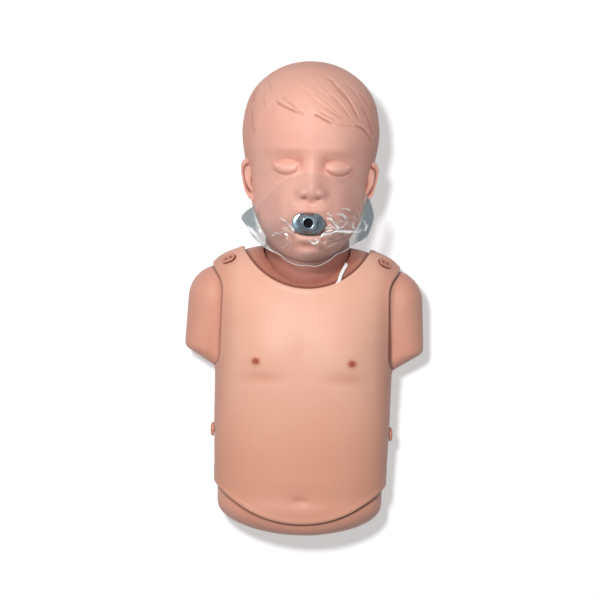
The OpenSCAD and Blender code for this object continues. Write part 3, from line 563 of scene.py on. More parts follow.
def hullField(x, y, circles):  # distance to the hull of some circles
    pts = np.vstack([np.stack([cx + r * np.cos(np.linspace(0, 2 * np.pi, 60, endpoint=False)),
                               cy + r * np.sin(np.linspace(0, 2 * np.pi, 60, endpoint=False))], 1)
                     for cx, cy, r in circles])
    pts = pts[np.lexsort((pts[:, 1], pts[:, 0]))]

    def chain(rows):
        out = []
        for p in rows:
            while len(out) > 1 and np.cross(out[-1] - out[-2], p - out[-2]) <= 1e-9:
                out.pop()
            out.append(p)
        return out[:-1]
    ring = np.array(chain(pts) + chain(pts[::-1]))
    side = np.roll(ring, -1, axis=0) - ring
    length = np.hypot(side[:, 0], side[:, 1])
    normal = np.stack([side[:, 1], -side[:, 0]], 1) / length[:, None]
    best = np.full(np.shape(x), -1e9)
    for p, n in zip(ring, normal):
        best = np.maximum(best, (x - p[0]) * n[0] + (y - p[1]) * n[1])
    return best


def skinField(x, y, z):
    c = skinCut
    centreY = c["hemY"] + c["hemR"]
    hem = np.where(y > centreY, np.abs(x) - c["hemR"], np.hypot(x, y - centreY) - c["hemR"])
    neck = c["necklineR"] - np.hypot(x, y - c["necklineY"])
    ax, ay = c["armholeX"], c["armpitY"]
    arm = -hullField(np.abs(x), y, [(ax + 20, ay + 20, 20), (ax + 30, c["shoulderY"], 30),
                                    (ax + 36, topY + 4, 3), (ax + 70, ay + 10, 10), (ax + 70, topY, 3)])
    dy, dz = np.abs(y - c["tabY"]) - (c["tabLength"] / 2 - 10), np.abs(z - c["tabLow"] - 22) - 12
    tab = np.hypot(np.maximum(dy, 0), np.maximum(dz, 0)) + np.minimum(np.maximum(dy, dz), 0) - 10
    side = -softMax(-(c["edgeZ"] - z), -tab, 4)
    return softMax(softMax(softMax(hem, neck, 1), arm, c["corner"]), side, c["corner"])


# Trunk shell with the arm stubs
armStub = {"x": 90.2, "y": 0.0, "z": 48.0, "ball": 34.4, "end": 21.4, "edge": 8.0, "length": 62.5,
           "splay": 14.0, "armpit": 12.5}
shareRows = np.linspace(0, 1, 64)
stations = blendTo(endShare, 1 - endShare, 0.25 * shareRows + 0.75 * (1 - np.cos(np.pi * shareRows)) / 2)
angles = np.linspace(0, 2 * np.pi, 120, endpoint=False)
A, F = np.meshgrid(angles, stations)
tx, ty, tz, _ = trunkPoints(A, F, 0.0)
trunkRaw = np.stack([tx, ty, tz], -1).reshape(-1, 3)
work = bmesh.new()
ringVerts = [work.verts.new(p) for p in trunkRaw]
n = len(angles)
for q in gridFaces(len(stations), n, True):
    work.faces.new([ringVerts[i] for i in q])
work.faces.new(ringVerts[:n][::-1])
work.faces.new(ringVerts[-n:])
for side in (-1, 1):
    cloud = []
    s, t = np.meshgrid(np.linspace(0, 2 * np.pi, 40, endpoint=False), np.linspace(-1, 1, 21))
    ball = np.stack([np.sqrt(1 - t * t) * np.cos(s), np.sqrt(1 - t * t) * np.sin(s), t], -1).reshape(-1, 3)
    cloud.append(ball * armStub["ball"] + [side * armStub["x"], armStub["y"], armStub["z"]])
    cloud.append(ball * armStub["armpit"] + [side * (armStub["x"] - 8), armStub["y"] - armStub["length"] - 4,
                                             armStub["z"] - 4])
    u, v = np.meshgrid(np.linspace(0, 2 * np.pi, 40, endpoint=False), np.linspace(0, 2 * np.pi, 16, endpoint=False))
    r = armStub["end"] - armStub["edge"] + armStub["edge"] * np.cos(v)
    ring = np.stack([r * np.cos(u) + side * 3, r * np.sin(u),
                     armStub["edge"] * np.sin(v) + armStub["length"] - armStub["edge"]], -1).reshape(-1, 3)
    ring = np.stack([ring[:, 0], -ring[:, 2], ring[:, 1]], 1)
    k = math.radians(side * armStub["splay"])
    ring = np.stack([ring[:, 0] * math.cos(k) - ring[:, 1] * math.sin(k),
                     ring[:, 0] * math.sin(k) + ring[:, 1] * math.cos(k), ring[:, 2]], 1)
    cloud.append(ring + [side * armStub["x"], armStub["y"], armStub["z"] - 3])
    made = [work.verts.new(p) for p in np.vstack(cloud)]
    hull = bmesh.ops.convex_hull(work, input=made)
    bmesh.ops.delete(work, geom=list({g for g in hull["geom_interior"] + hull["geom_unused"]
                                      if isinstance(g, bmesh.types.BMVert)}), context="VERTS")
bmesh.ops.recalc_face_normals(work, faces=work.faces)
rough = bpy.data.meshes.new("trunkRough")
bmesh.ops.scale(work, vec=(mm, mm, mm), verts=work.verts)
work.to_mesh(rough)
work.free()
roughPiece = bpy.data.objects.new("trunkRough", rough)
bpy.context.scene.collection.objects.link(roughPiece)
remesh = roughPiece.modifiers.new("even", "REMESH")
remesh.mode, remesh.voxel_size = "VOXEL", trunkForm["voxel"] * mm
relax = roughPiece.modifiers.new("soft", "SMOOTH")
relax.factor, relax.iterations = 0.5, 9
graph = bpy.context.evaluated_depsgraph_get()
even = roughPiece.evaluated_get(graph).to_mesh()
even.calc_loop_triangles()
pts = np.zeros(len(even.vertices) * 3)
even.vertices.foreach_get("co", pts)
tris = np.zeros(len(even.loop_triangles) * 3, int)
even.loop_triangles.foreach_get("vertices", tris)
pts, tris = pts.reshape(-1, 3) / mm, tris.reshape(-1, 3)
roughPiece.evaluated_get(graph).to_mesh_clear()
bpy.data.objects.remove(roughPiece)


def neckRoom(p, forward=18.0):  # distance from the room that the neck ball needs
    best = np.full(len(p), 1e9)
    for a in (0, forward):
        d = np.array([0, math.cos(math.radians(a)), math.sin(math.radians(a))])
        q = p[:, :3] - [0, pivotY, pivotZ]
        t = np.clip(q @ d, 0, 60)
        best = np.minimum(best, np.linalg.norm(q - t[:, None] * d, axis=1))
    return best - neckR - 0.9


def plateRoom(p, grow=1.6):
    qx, qy = np.abs(p[:, 0]) - 54 + 16, np.abs(p[:, 1] - pressY) - 50 + 16
    d = np.hypot(np.maximum(qx, 0), np.maximum(qy, 0)) + np.minimum(np.maximum(qx, qy), 0) - 16 - grow
    return np.where(p[:, 2] > 60, d, 1e3)


for room in (neckRoom, plateRoom):
    pts, tris, _ = cutMesh(pts, tris, -room(pts))
normals = vertexNormals(pts, tris)
rim = borderLoops(tris)
rimIds, rimAt = np.unique(rim, return_inverse=True)
rimAt = rimAt.reshape(-1, 2) + len(pts)
inner = pts[rimIds] - normals[rimIds] * trunkForm["wall"]
tris = np.vstack([tris, np.stack([rim[:, 1], rim[:, 0], rimAt[:, 0]], 1),
                  np.stack([rim[:, 1], rimAt[:, 0], rimAt[:, 1]], 1)])
pts = np.vstack([pts, inner])
# painted shade along the line where the chest skin's edge stands over the trunk
gap = bell(skinField(pts[:, 0], pts[:, 1], pts[:, 2]) - 0.6, 2.8) * (pts[:, 2] > 15)
trunkPiece = newPiece("trunkShell", pts, tris, "torso", vinylMaterial,
                      values={"edgeGapShade": gap, "neckShade": bell(neckRoom(pts), 17)})
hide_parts("torso_shell")
print("trunk is made")

# Chest skin: a soft cover with a rolled edge
chestSkin = {"gap": 0.3, "thickness": 3.0, "edgeRadius": 1.7, "lip": 0.7, "spacing": 1.7}
probe = np.linspace(math.radians(-24), math.radians(204), 3000)
px, _, pz, _ = trunkPoints(probe, 0.5, chestSkin["gap"])
arc = np.concatenate([[0], np.cumsum(np.hypot(np.diff(px), np.diff(pz)))])
count = int(arc[-1] / chestSkin["spacing"])
skinAngles = np.interp(np.linspace(0, arc[-1], count), arc, probe)
rowsY = np.arange(-240.0, topY + 0.2, chestSkin["spacing"])
A, F = np.meshgrid(skinAngles, shareAt(rowsY, chestSkin["gap"]))
sx, sy, sz, st = trunkPoints(A, F, chestSkin["gap"])
ballSide = np.sign(sx) * armStub["x"]  # the skin passes over the shoulder ball where that stands proud
away = np.sqrt((sx - ballSide) ** 2 + (sy - armStub["y"]) ** 2 + (sz - armStub["z"]) ** 2)
push = softMax(away, armStub["ball"] + chestSkin["gap"], 2.0) / np.maximum(away, 1e-6)
sx, sy, sz = ballSide + (sx - ballSide) * push, armStub["y"] + (sy - armStub["y"]) * push, armStub["z"] + (sz - armStub["z"]) * push
field = skinField(sx, sy, sz)
du = np.sqrt(sum(np.gradient(c, axis=1) ** 2 for c in (sx, sy, sz)))
dv = np.sqrt(sum(np.gradient(c, axis=0) ** 2 for c in (sx, sy, sz)))
slope = np.hypot(np.gradient(field, axis=1) / np.maximum(du, 1e-6), np.gradient(field, axis=0) / np.maximum(dv, 1e-6))
field = field / np.clip(slope, 0.35, 1.5)
base = np.stack([sx, sy, sz], -1).reshape(-1, 3)
tris = asTriangles(gridFaces(len(rowsY), count))
out = vertexNormals(base, tris)
if out[np.argmax(base[:, 2])][2] < 0:
    out, tris = -out, tris[:, ::-1]
lift = relief(sx, sy) * np.clip(2 * st, 0, 1)
pack = np.column_stack([base, out, field.ravel(), lift.ravel()])
pack, tris, _ = cutMesh(pack, tris, pack[:, 6])
for level in (-0.45, -1.0, -1.8, -3.4):
    pack, tris, _ = cutMesh(pack, tris, pack[:, 6] - level, keepAll=True)
depth = -pack[:, 6]
r, t = chestSkin["edgeRadius"], chestSkin["thickness"]
s = np.clip(depth / r, 0, 1)
height = t / 2 + (t / 2) * np.sqrt(1 - (1 - s) ** 2) + chestSkin["lip"] * bell(depth - 3.2, 2.0)
upper = pack[:, :3] + pack[:, 3:6] * height[:, None]
upper[:, 2] += pack[:, 7]
rim = borderLoops(tris)
rimIds, rimAt = np.unique(rim, return_inverse=True)
rimAt = rimAt.reshape(-1, 2)
edgeTri = np.zeros(len(pack), int)
edgeTri[tris.ravel()] = np.repeat(np.arange(len(tris)), 3)
ahead = np.zeros((len(pack), 3))
for a, b in ((0, 1), (1, 0)):
    np.add.at(ahead, rim[:, a], (pack[rim[:, 1], :3] - pack[rim[:, 0], :3]))
ahead = ahead[rimIds] / np.maximum(np.linalg.norm(ahead[rimIds], axis=1), 1e-9)[:, None]
inward = np.cross(pack[rimIds, 3:6], ahead)
under = []
for push, level in ((0.5, 0.5), (1.6, 0.1), (7.0, 0.1)):
    q = pack[rimIds, :3] + inward * push + pack[rimIds, 3:6] * (t * level)
    q[:, 2] += pack[rimIds, 7]
    under.append(q)
start = len(upper)
allPts = np.vstack([upper] + under)
rings = [rimIds] + [start + k * len(rimIds) + np.arange(len(rimIds)) for k in range(3)]
for k in range(3):
    a, b = rings[k][rimAt[:, 0]], rings[k][rimAt[:, 1]]
    c, d = rings[k + 1][rimAt[:, 1]], rings[k + 1][rimAt[:, 0]]
    tris = np.vstack([tris, np.stack([b, a, d], 1), np.stack([b, d, c], 1)])
x, y = upper[:, 0], upper[:, 1]
values = {
    # painted shade in the crease under the chest and in the navel
    "hollowShade": np.clip(0.75 * bell(y - chestRelief["nippleY"] + 17, 7) * bell(np.abs(x) - 44, 24)
                      + 0.8 * bell(x, 8) * bell(y - chestRelief["navelY"], 4), 0, 1),
    # painted highlight along the top of the skin's rolled edge
    "edgeHighlight": bell(depth - 2.0, 1.4) * (height > 0),
    "edgeGapShade": bell(depth, 0.5),
    # painted shade: darker toward the belly and the sides of the chest
    "bellyAndSideShade": np.maximum(easeStep((-70 - y) / 110), 0.9 * easeStep((np.abs(x) - 68) / 24)),
    "nippleHalo": bell(np.hypot(np.abs(x) - chestRelief["nippleX"], y - chestRelief["nippleY"]), 7.0),
    "nipple": bell(np.hypot((np.abs(x) - chestRelief["nippleX"]) / 1.2, y - chestRelief["nippleY"]), 4.2),
}
pad = np.zeros(len(allPts) - len(upper))
# the underside of the rolled edge carries full painted shade
values = {k: np.concatenate([v, pad + (1.0 if k == "edgeGapShade" else 0.0)]) for k, v in values.items()}
skinPiece = newPiece("chestSkin", allPts, tris, None, skinMaterial, values=values)
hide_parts("chest_skin")
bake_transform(skinPiece)
print("chest skin is made")

# Head: polar grid around the nose, front and rear, with the face carved in
headForm = {
    "noseUp": 73.0, "browZ": 62.0, "lift": 24.0, "columns": 360, "frontRings": 180, "rearRings": 70,
    "hairRise": 1.4, "turned": 2.6,
}
outlineRows = [[-90, 73], [-75, 71.5], [-60, 68], [-45, 64], [-30, 61.5], [-15, 61], [0, 61.5],
               [15, 66], [30, 80.2], [45, 101.5], [60, 123], [75, 134.5], [90, 138]]
edgeRows = [[-90, 92], [-50, 80], [-10, 60], [30, 60], [90, 66]]
squareRows = [[-90, 5], [-30, 2.9], [20, 2.5], [90, 4.2]]
faceRows = [[0, 119], [20, 124], [40, 128], [58, 130], [75, 131], [92, 132.5], [104, 135],
            [116, 139.5], [132, 143], [155, 144.5], [180, 144], [211, 142]]
hairRows = [[-72, 108], [-60, 128], [-50, 150], [-40, 162], [-26, 156], [-8, 148], [0, 149],
            [22, 140], [44, 140], [58, 131], [70, 110]]
faceForms = [  # side offset, height above the chin, spread across, spread along, rise
    [0, 75.5, 10, 9, 9.5], [0, 90, 10, 14, 3.8], [0, 104, 9, 11, 1.0], [10.2, 69.5, 5.2, 5.4, 5.2],
    [0, 67, 5, 5, 3.2], [7.4, 64.2, 3.4, 2.2, -3.4],
    [26, 101, 17, 12, -6.5], [27.5, 97, 11.5, 5.6, 5.4], [13, 99, 5, 7, -2],
    [27, 114, 19, 6, 2.2], [35, 62, 20, 21, 5.0], [24, 52, 5, 14, -1.2],
    [0, 51.5, 15, 5, 4.6], [0, 57, 4, 6, -1.4], [0, 23, 13.5, 4.4, 7], [0, 35, 13, 7, -8],
    [19, 38, 5, 6, -2], [0, 15, 14, 4.5, -3.5], [0, 4, 14, 9, 5],
    [21, 27, 3, 5, -0.8]]
hairStrands = [  # paths of the carved strands, side offset and height above the chin, with their depth
    ([(-38.9, 166.7), (-33.5, 161.4), (-28.4, 158.3), (-20, 154.5), (-10.7, 149.5)], 1.0),
    ([(-27.6, 166.1), (-17.5, 157.4), (-5.4, 147.6)], 0.7), ([(1.2, 150.8), (6.8, 148.7), (13.2, 145.5), (24.0, 140.2)], 1.0),
    ([(5.7, 155.0), (15.8, 149.3), (26.9, 144.5)], 0.5), ([(24.0, 140.8), (34.6, 140.2), (44.1, 141.3)], 0.4),
    ([(43.2, 142.3), (50.5, 140.2), (55.9, 137.1), (60.8, 131.2), (64.1, 126.5)], 1.1),
    ([(9.4, 193.2), (20.2, 186.6), (28.4, 176.0), (39.3, 165.4), (46.2, 153.5), (50.9, 144.5)], 0.8),
    ([(24.0, 183.7), (33.8, 173.1), (41.5, 161.4), (44.9, 153.0)], 0.8),
    ([(45.8, 169.4), (52.7, 158.8), (59.6, 148.2), (63.2, 139.2)], 0.6),
    ([(47.4, 178.4), (54.0, 169.9), (59.5, 161.4)], 0.5), ([(-55.5, 181.6), (-60.0, 173.1), (-61.9, 163.6)], 0.6),
    ([(-46.1, 189.0), (-43.8, 181.6), (-41.7, 174.2)], 0.45), ([(-51.0, 171.0), (-49.2, 163.6), (-47.4, 156.1)], 0.45),
    ([(-62.3, 158.3), (-60.8, 143.4), (-58.3, 128.6)], 0.45), ([(-16.1, 176.3), (-8.5, 167.8), (1.2, 160.4)], 0.35),
    ([(-5.8, 189.0), (5.0, 177.3), (18.0, 167.8)], 0.4), ([(-30, 190), (-24, 180), (-12, 170)], 0.25),
    ([(58, 150), (62, 140), (64, 130)], 0.5), ([(-34, 172), (-24, 163), (-12, 155)], 0.5),
    ([(14, 176), (26, 166), (36, 154), (42, 146)], 0.45), ([(32, 188), (44, 176), (54, 162), (60, 150)], 0.5),
    ([(-2, 170), (10, 161), (22, 153), (34, 147)], 0.45), ([(-20, 186), (-8, 176), (6, 168)], 0.3), ([(18, 160), (28, 152), (38, 147)], 0.35)]
noseR = headForm["noseUp"]


def foldAngle(a):  # degrees folded to -90..90
    b = (a + 3600) % 360
    c = np.where(b > 180, b - 360, b)
    return np.where(c > 90, 180 - c, np.where(c < -90, -180 - c, c))


def hairMask(x, y):
    return easeStep((y - smoothRows(hairRows, x) + 5) / 14)


def faceDetail(x, y):
    sideways = x - headForm["turned"] * easeStep((y - 36) / 30) * easeStep((130 - y) / 20)
    u = np.abs(sideways)
    rise = np.zeros(np.broadcast(x, y).shape)
    for ox, oy, wx, wy, h in faceForms:
        rise += h * bell(u - ox, wx) * bell(y - oy, wy)
    lash = 89.6 + 5.4 * ((u - 27.5) / 13) ** 2
    span = easeStep((15.2 - np.abs(u - 27.5)) / 5)
    rise += span * (-1.2 * bell(y - lash, 1.4) + 1.0 * bell(y - lash - 4.5, 3.2)
                    + 0.5 * bell(y - lash + 3.4, 2.2) - 0.5 * bell(y - lash + 8, 3.5))
    brow = 104.5 - 3.5 * ((u - 26) / 15) ** 2
    rise += span * (-0.7 * bell(y - brow, 1.8))
    hair = hairMask(x, y)
    strands = np.zeros_like(rise)
    ridges = np.zeros_like(rise)
    for path, depth in hairStrands:
        strands = np.maximum(strands, depth * strokeMask(x, y, path, 1.3))
        ridges = np.maximum(ridges, depth * strokeMask(x - 1.6, y - 2.2, path, 1.9))
    waves = np.sin((x * 0.62 + y * 0.78) * 0.62 + 0.9 * np.sin(x * 0.05) + waveNoise(x * 0.05, y * 0.05, 4, 1) * 2)
    rise += hair * (headForm["hairRise"] + 0.16 * waves * bell(y - 166, 36)) + 1.0 * ridges - 1.1 * strands
    marks = {
        "hair": hair,
        # pale lower lip, with painted highlights on the upper eyelids and along the hair ridges
        "lips": np.clip(bell(y - 23.0 - 0.014 * x * x, 3.2) * bell(x / 13, 1) ** 0.7 * 1.3
                        + 0.6 * span * bell(y - lash - 6, 3.2) + 0.45 * ridges, 0, 1),
        # red of the upper lip line, with painted shade in the mouth corners and the groove under the lower lip
        "lipRedAndShade": np.clip(bell(y - 51, 2.4) * bell(x, 15) * 0.5 + 0.6 * bell(y - 18.0 - 0.03 * x * x, 1.6) * bell(x, 12)
                          + bell(u - 15, 2.6) * bell(y - 26, 4.5), 0, 1),
        # painted shade in the lash creases, nostrils, mouth opening and hair grooves
        "darkLineShade": np.clip(span * bell(y - lash + 0.3, 1.6) * 0.6 + 0.62 * bell(u - 7.4, 3.2) * bell(y - 64.4, 2.1)
                            + 1.1 * bell(x / 10, 1) ** 2 * bell(y - 29.8 - 0.01 * x * x, 2.6)
                            + 0.36 * strands * (np.abs(x) < 56), 0, 1),
        # painted shade round the eyes and brows, beside the nose and mouth, under the nose and lower lip, in the hair
        # grooves, and darker toward the sides and top of the head
        "hollowShade": np.clip(0.4 * span * bell(y - brow, 3.0) + 0.4 * bell(u - 16.5, 3.5) * bell(y - 71, 6)
                          + 0.6 * bell(y - 15, 3.2) * bell(x, 14) + 0.8 * bell(u - 13.5, 5.5) * bell(y - 101, 7)
                          + 0.4 * bell(u - 20, 3.5) * bell(y - 40, 9) + 0.45 * bell(u - 41, 4) * bell(y - 97, 7)
                          + 0.5 * easeStep((np.abs(x) - 48) / 18) + 0.4 * easeStep((y - 186) / 26)
                          + 1.0 * strands + 0.4 * bell(u, 12) * bell(y - 63.5, 3), 0, 1),
    }
    return rise, marks


def headPoint(a, t, front, plain=False):  # a in degrees; millimetres in the frame
    c = foldAngle(a)
    r = smoothRows(outlineRows, c) * t
    k = np.radians(a)
    x, y = r * np.cos(k), noseR + r * np.sin(k)
    edge = blendTo(headForm["browZ"], smoothRows(edgeRows, c), t * t)
    marks = {}
    if front:
        q = smoothRows(squareRows, c)
        rimShape = np.sqrt(1 - np.minimum(1, t) ** q)
        slopeAway = x * x / blendTo(118, 170, easeStep((y - 80) / 60))
        rise, marks = faceDetail(x, y)
        z = blendTo(edge, smoothRows(faceRows, y) - slopeAway + rise, rimShape)
    else:
        z = blendTo(edge, 0.0022 * (y - 128) ** 2 + x * x / 210, np.sqrt(1 - t ** 3))
    return x, chinY + y, headForm["lift"] + z, marks


cols = headForm["columns"]
turn = np.linspace(0, 360, cols, endpoint=False)
k = np.linspace(0.0, 1.0, headForm["frontRings"] + 1)[1:]
ease = 0.3 * k + 0.7 * np.sin(np.pi / 2 * k)
ease[-1] = 0.9994
A, T = np.meshgrid(turn, ease)
fx, fy, fz, marks = headPoint(A, T, True)
k = np.linspace(1.0, 0.0, headForm["rearRings"] + 1)[:-1]
A2, T2 = np.meshgrid(turn, 0.1 * k + 0.9 * np.sin(np.pi / 2 * k))
rx, ry, rz, _ = headPoint(A2, T2, False)
pts = np.stack([np.vstack([fx, rx]), np.vstack([fy, ry]), np.vstack([fz, rz])], -1).reshape(-1, 3)
quads = gridFaces(len(fx) + len(rx), cols, True)
last = len(pts) - cols
cx, cy, cz, _ = headPoint(np.array([0.0]), np.array([0.001]), True)
pts = np.vstack([pts, [[cx[0], cy[0], fz[0].mean()]], [[0, chinY + noseR, rz[-1].mean()]]])
faces = quads.tolist() + [[len(pts) - 2, (j + 1) % cols, j] for j in range(cols)] \
    + [[last + j, last + (j + 1) % cols, len(pts) - 1] for j in range(cols)]
values = {key: np.concatenate([v.ravel(), np.zeros(len(rx) * cols + 2)]) for key, v in marks.items()}
values["hair"][len(fx) * cols:] = 1.0
values["hollowShade"][len(pts) - 2] = 0
headPiece = newPiece("headForm", pts, [f[::-1] for f in faces], "head", headMaterial, values=values)
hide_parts("head_skin")
print("head is made")

# Ears: a rolled rim, a bowl and a lobe, lying back on the head
earShape = {"length": 46.0, "width": 27.0, "x": 54.5, "y": 125.5, "z": 97.0, "flare": 10.5, "lean": -11.0,
            "turn": -11.0}


def makeEar(side):
    n, m = 44, 96
    a = np.linspace(0, 2 * np.pi, m, endpoint=False)
    egg = np.stack([np.cos(a) * (1.0 + 0.16 * np.sin(a)), np.sin(a)], 1)  # back of the ear is -cos
    rows, earShadeRows = [], []
    for i in range(n + 1):
        k = i / n
        t = min(1.0, k * 1.25)
        p = egg[:, 0] * earShape["width"] / 2 * t
        q = egg[:, 1] * earShape["length"] / 2 * t
        if k > 0.8:  # round the rim and come back behind it
            w = (k - 0.8) / 0.2
            p, q = p * (1 - 0.10 * w), q * (1 - 0.06 * w)
        lobe = easeStep((-q / (earShape["length"] / 2) - 0.45) / 0.4)
        free = easeStep((6.0 - p) / 14)  # the front edge joins the head
        flare = earShape["flare"] * easeStep((9 - p) / 20) + 1.2
        rimRise = 2.4 * bell(t - 0.88, 0.11) * (1 - lobe) * (0.35 + 0.65 * free)
        bowl = -4.6 * bell(p - 2.0, 5.5) * bell(q + 3.0, 8.0)
        fold = 1.7 * bell(t - 0.56, 0.13) * bell(p + 2.5, 7) * easeStep((q + 8) / 10)
        tragus = 2.4 * bell(p - 8.5, 2.8) * bell(q + 3, 3.6)
        h = flare + rimRise + bowl + fold + tragus + 1.0 * lobe
        if k > 0.8:
            h = h - (3.4 * (1 - (1 - w) ** 2))
        if i == n:
            h = h * 0 - 5.0
            p, q = p * 0.75, q * 0.82
        rows.append(np.stack([h, q, -p * -1.0], 1))
        # painted shade in the ear's bowl, in the groove inside the rim and by the ear canal
        shade = -bowl / 2.2 + 0.9 * bell(t - 0.7, 0.12) * (1 - lobe)
        shade = np.maximum(shade, 0.9 * bell(p - 6, 5) * bell(q + 2, 11))
        earShadeRows.append(np.clip(shade, 0, 1) * (k <= 0.85))
    pts = np.array(rows).reshape(-1, 3)
    values = np.array(earShadeRows).ravel()
    lean, turnZ = math.radians(earShape["lean"]), math.radians(earShape["turn"])
    x, y, z = pts[:, 0], pts[:, 1], pts[:, 2]
    x, z = x * math.cos(lean) + z * math.sin(lean), -x * math.sin(lean) + z * math.cos(lean)
    x, y = x * math.cos(turnZ) - y * math.sin(turnZ), x * math.sin(turnZ) + y * math.cos(turnZ)
    pts = np.stack([side * (x + earShape["x"]), y + earShape["y"], z + earShape["z"]], 1)
    faces = gridFaces(n + 1, m, True).tolist()
    if side > 0:
        faces = [f[::-1] for f in faces]
    # the ear's marks are painted shade in its recesses
    ear = newPiece("ear" + ("Left" if side < 0 else "Right"), pts, faces, "head", headMaterial,
                   values={"hollowShade": values, "hair": values * 0, "lips": values * 0, "lipRedAndShade": values * 0,
                           "darkLineShade": np.clip(values * 1.6 - 0.7, 0, 1)})
    return ear


for side in (-1, 1):
    makeEar(side)

# Neck: a ball on the pivot that widens into the back of the head
neckShape = {"rings": 44, "columns": 120, "open": 36.0, "reach": 52.0}
a = np.linspace(0, 2 * np.pi, neckShape["columns"], endpoint=False)
rings = []
for k in np.linspace(-1.0, 1.0, neckShape["rings"]):
    if k <= 0:  # the ball, open toward the trunk
        y = k * math.sqrt(neckR ** 2 - neckShape["open"] ** 2)
        r, wide, up = math.sqrt(neckR ** 2 - y * y), 1.0, 0.0
    else:
        y = k * neckShape["reach"]
        r, wide, up = neckR - 1.5 * k, 1 - 0.26 * easeStep(k), 9 * k
    rings.append(np.stack([r * np.cos(a), 0 * a + pivotY + y, pivotZ + up + r * wide * np.sin(a)], 1))
lip = rings[0].copy()
lip[:, 0] *= 0.9
lip[:, 2] = pivotZ + (lip[:, 2] - pivotZ) * 0.9
deep = lip.copy()
deep[:, 1] += 16
pts, quads = ringBand([deep, lip] + rings)
zero = np.zeros(len(pts))
# the whole neck carries painted shade, standing in for the shadow under the chin
neckPiece = newPiece("neckBall", pts, quads, "head", headMaterial,
                     values={"hollowShade": zero + 1.0, "hair": zero, "lips": zero, "lipRedAndShade": zero, "darkLineShade": zero + 0.6})
print("ears and neck are made")

# Mouthpiece: soft-edged oval seat, domed valve housing and the port
mouthShape = {"y": 78.0, "seatTop": 161.0, "width": 34.0, "length": 21.0, "dome": 8.0, "port": 4.5}
n = 96
a = np.linspace(0, 2 * np.pi, n, endpoint=False)
circle = np.stack([np.cos(a), np.sin(a)], 1)
oval = stadium(mouthShape["width"], mouthShape["length"], n)
top = mouthShape["seatTop"]
rows = []
for inset, z in ((3.0, -2.0), (0.8, -2.0), (0.2, -1.7), (0.0, -1.1), (0.1, -0.5), (0.6, -0.1), (1.4, 0.0)):
    rows.append(np.column_stack([oval * (1 - inset / 14), np.full(n, top + z)]))
for r, z, share in ((12.6, 0.0, 0.55), (11.2, 0.25, 0.15)):
    rows.append(np.column_stack([oval * share * r / 14 + circle * r * (1 - share), np.full(n, top + z)]))
for r, z in ((10.4, 0.8), (10.15, 1.6), (9.9, 2.3), (9.9, 2.9), (9.4, 3.2), (9.2, 4.4), (8.6, 5.6), (7.8, 6.7),
             (7.0, 7.5), (6.4, 7.9), (5.8, 8.0), (5.2, 7.9), (4.8, 7.5), (4.55, 6.6), (4.5, 3.0), (4.5, 0.7)):
    rows.append(np.column_stack([circle * r, np.full(n, top + z)]))
pts, quads = ringBand(rows)
wave = 1 + 0.015 * np.sin(np.arctan2(pts[:, 1], pts[:, 0]) * 8) * (np.hypot(pts[:, 0], pts[:, 1]) < 10.5) \
    * (pts[:, 2] > top + 2.6) * (np.hypot(pts[:, 0], pts[:, 1]) > 6.6)
pts[:, :2] *= wave[:, None]
pts[:, 1] += mouthShape["y"]
mouthPiece = newPiece("mouthSeat", pts, quads, "head", mouthMaterial)
tubeRows = [np.column_stack([circle * r, np.full(n, top + z)]) for r, z in
            ((7.2, -1.5), (7.2, -24.8), (7.0, -25.6), (5.9, -25.6), (5.8, -24.6), (5.8, 0.4))]
pts, quads = ringBand(tubeRows)
pts[:, 1] += mouthShape["y"]
mouthTube = newPiece("mouthTube", pts, quads, "head", mouthMaterial)
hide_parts("mouthpiece")
print("mouthpiece is made")

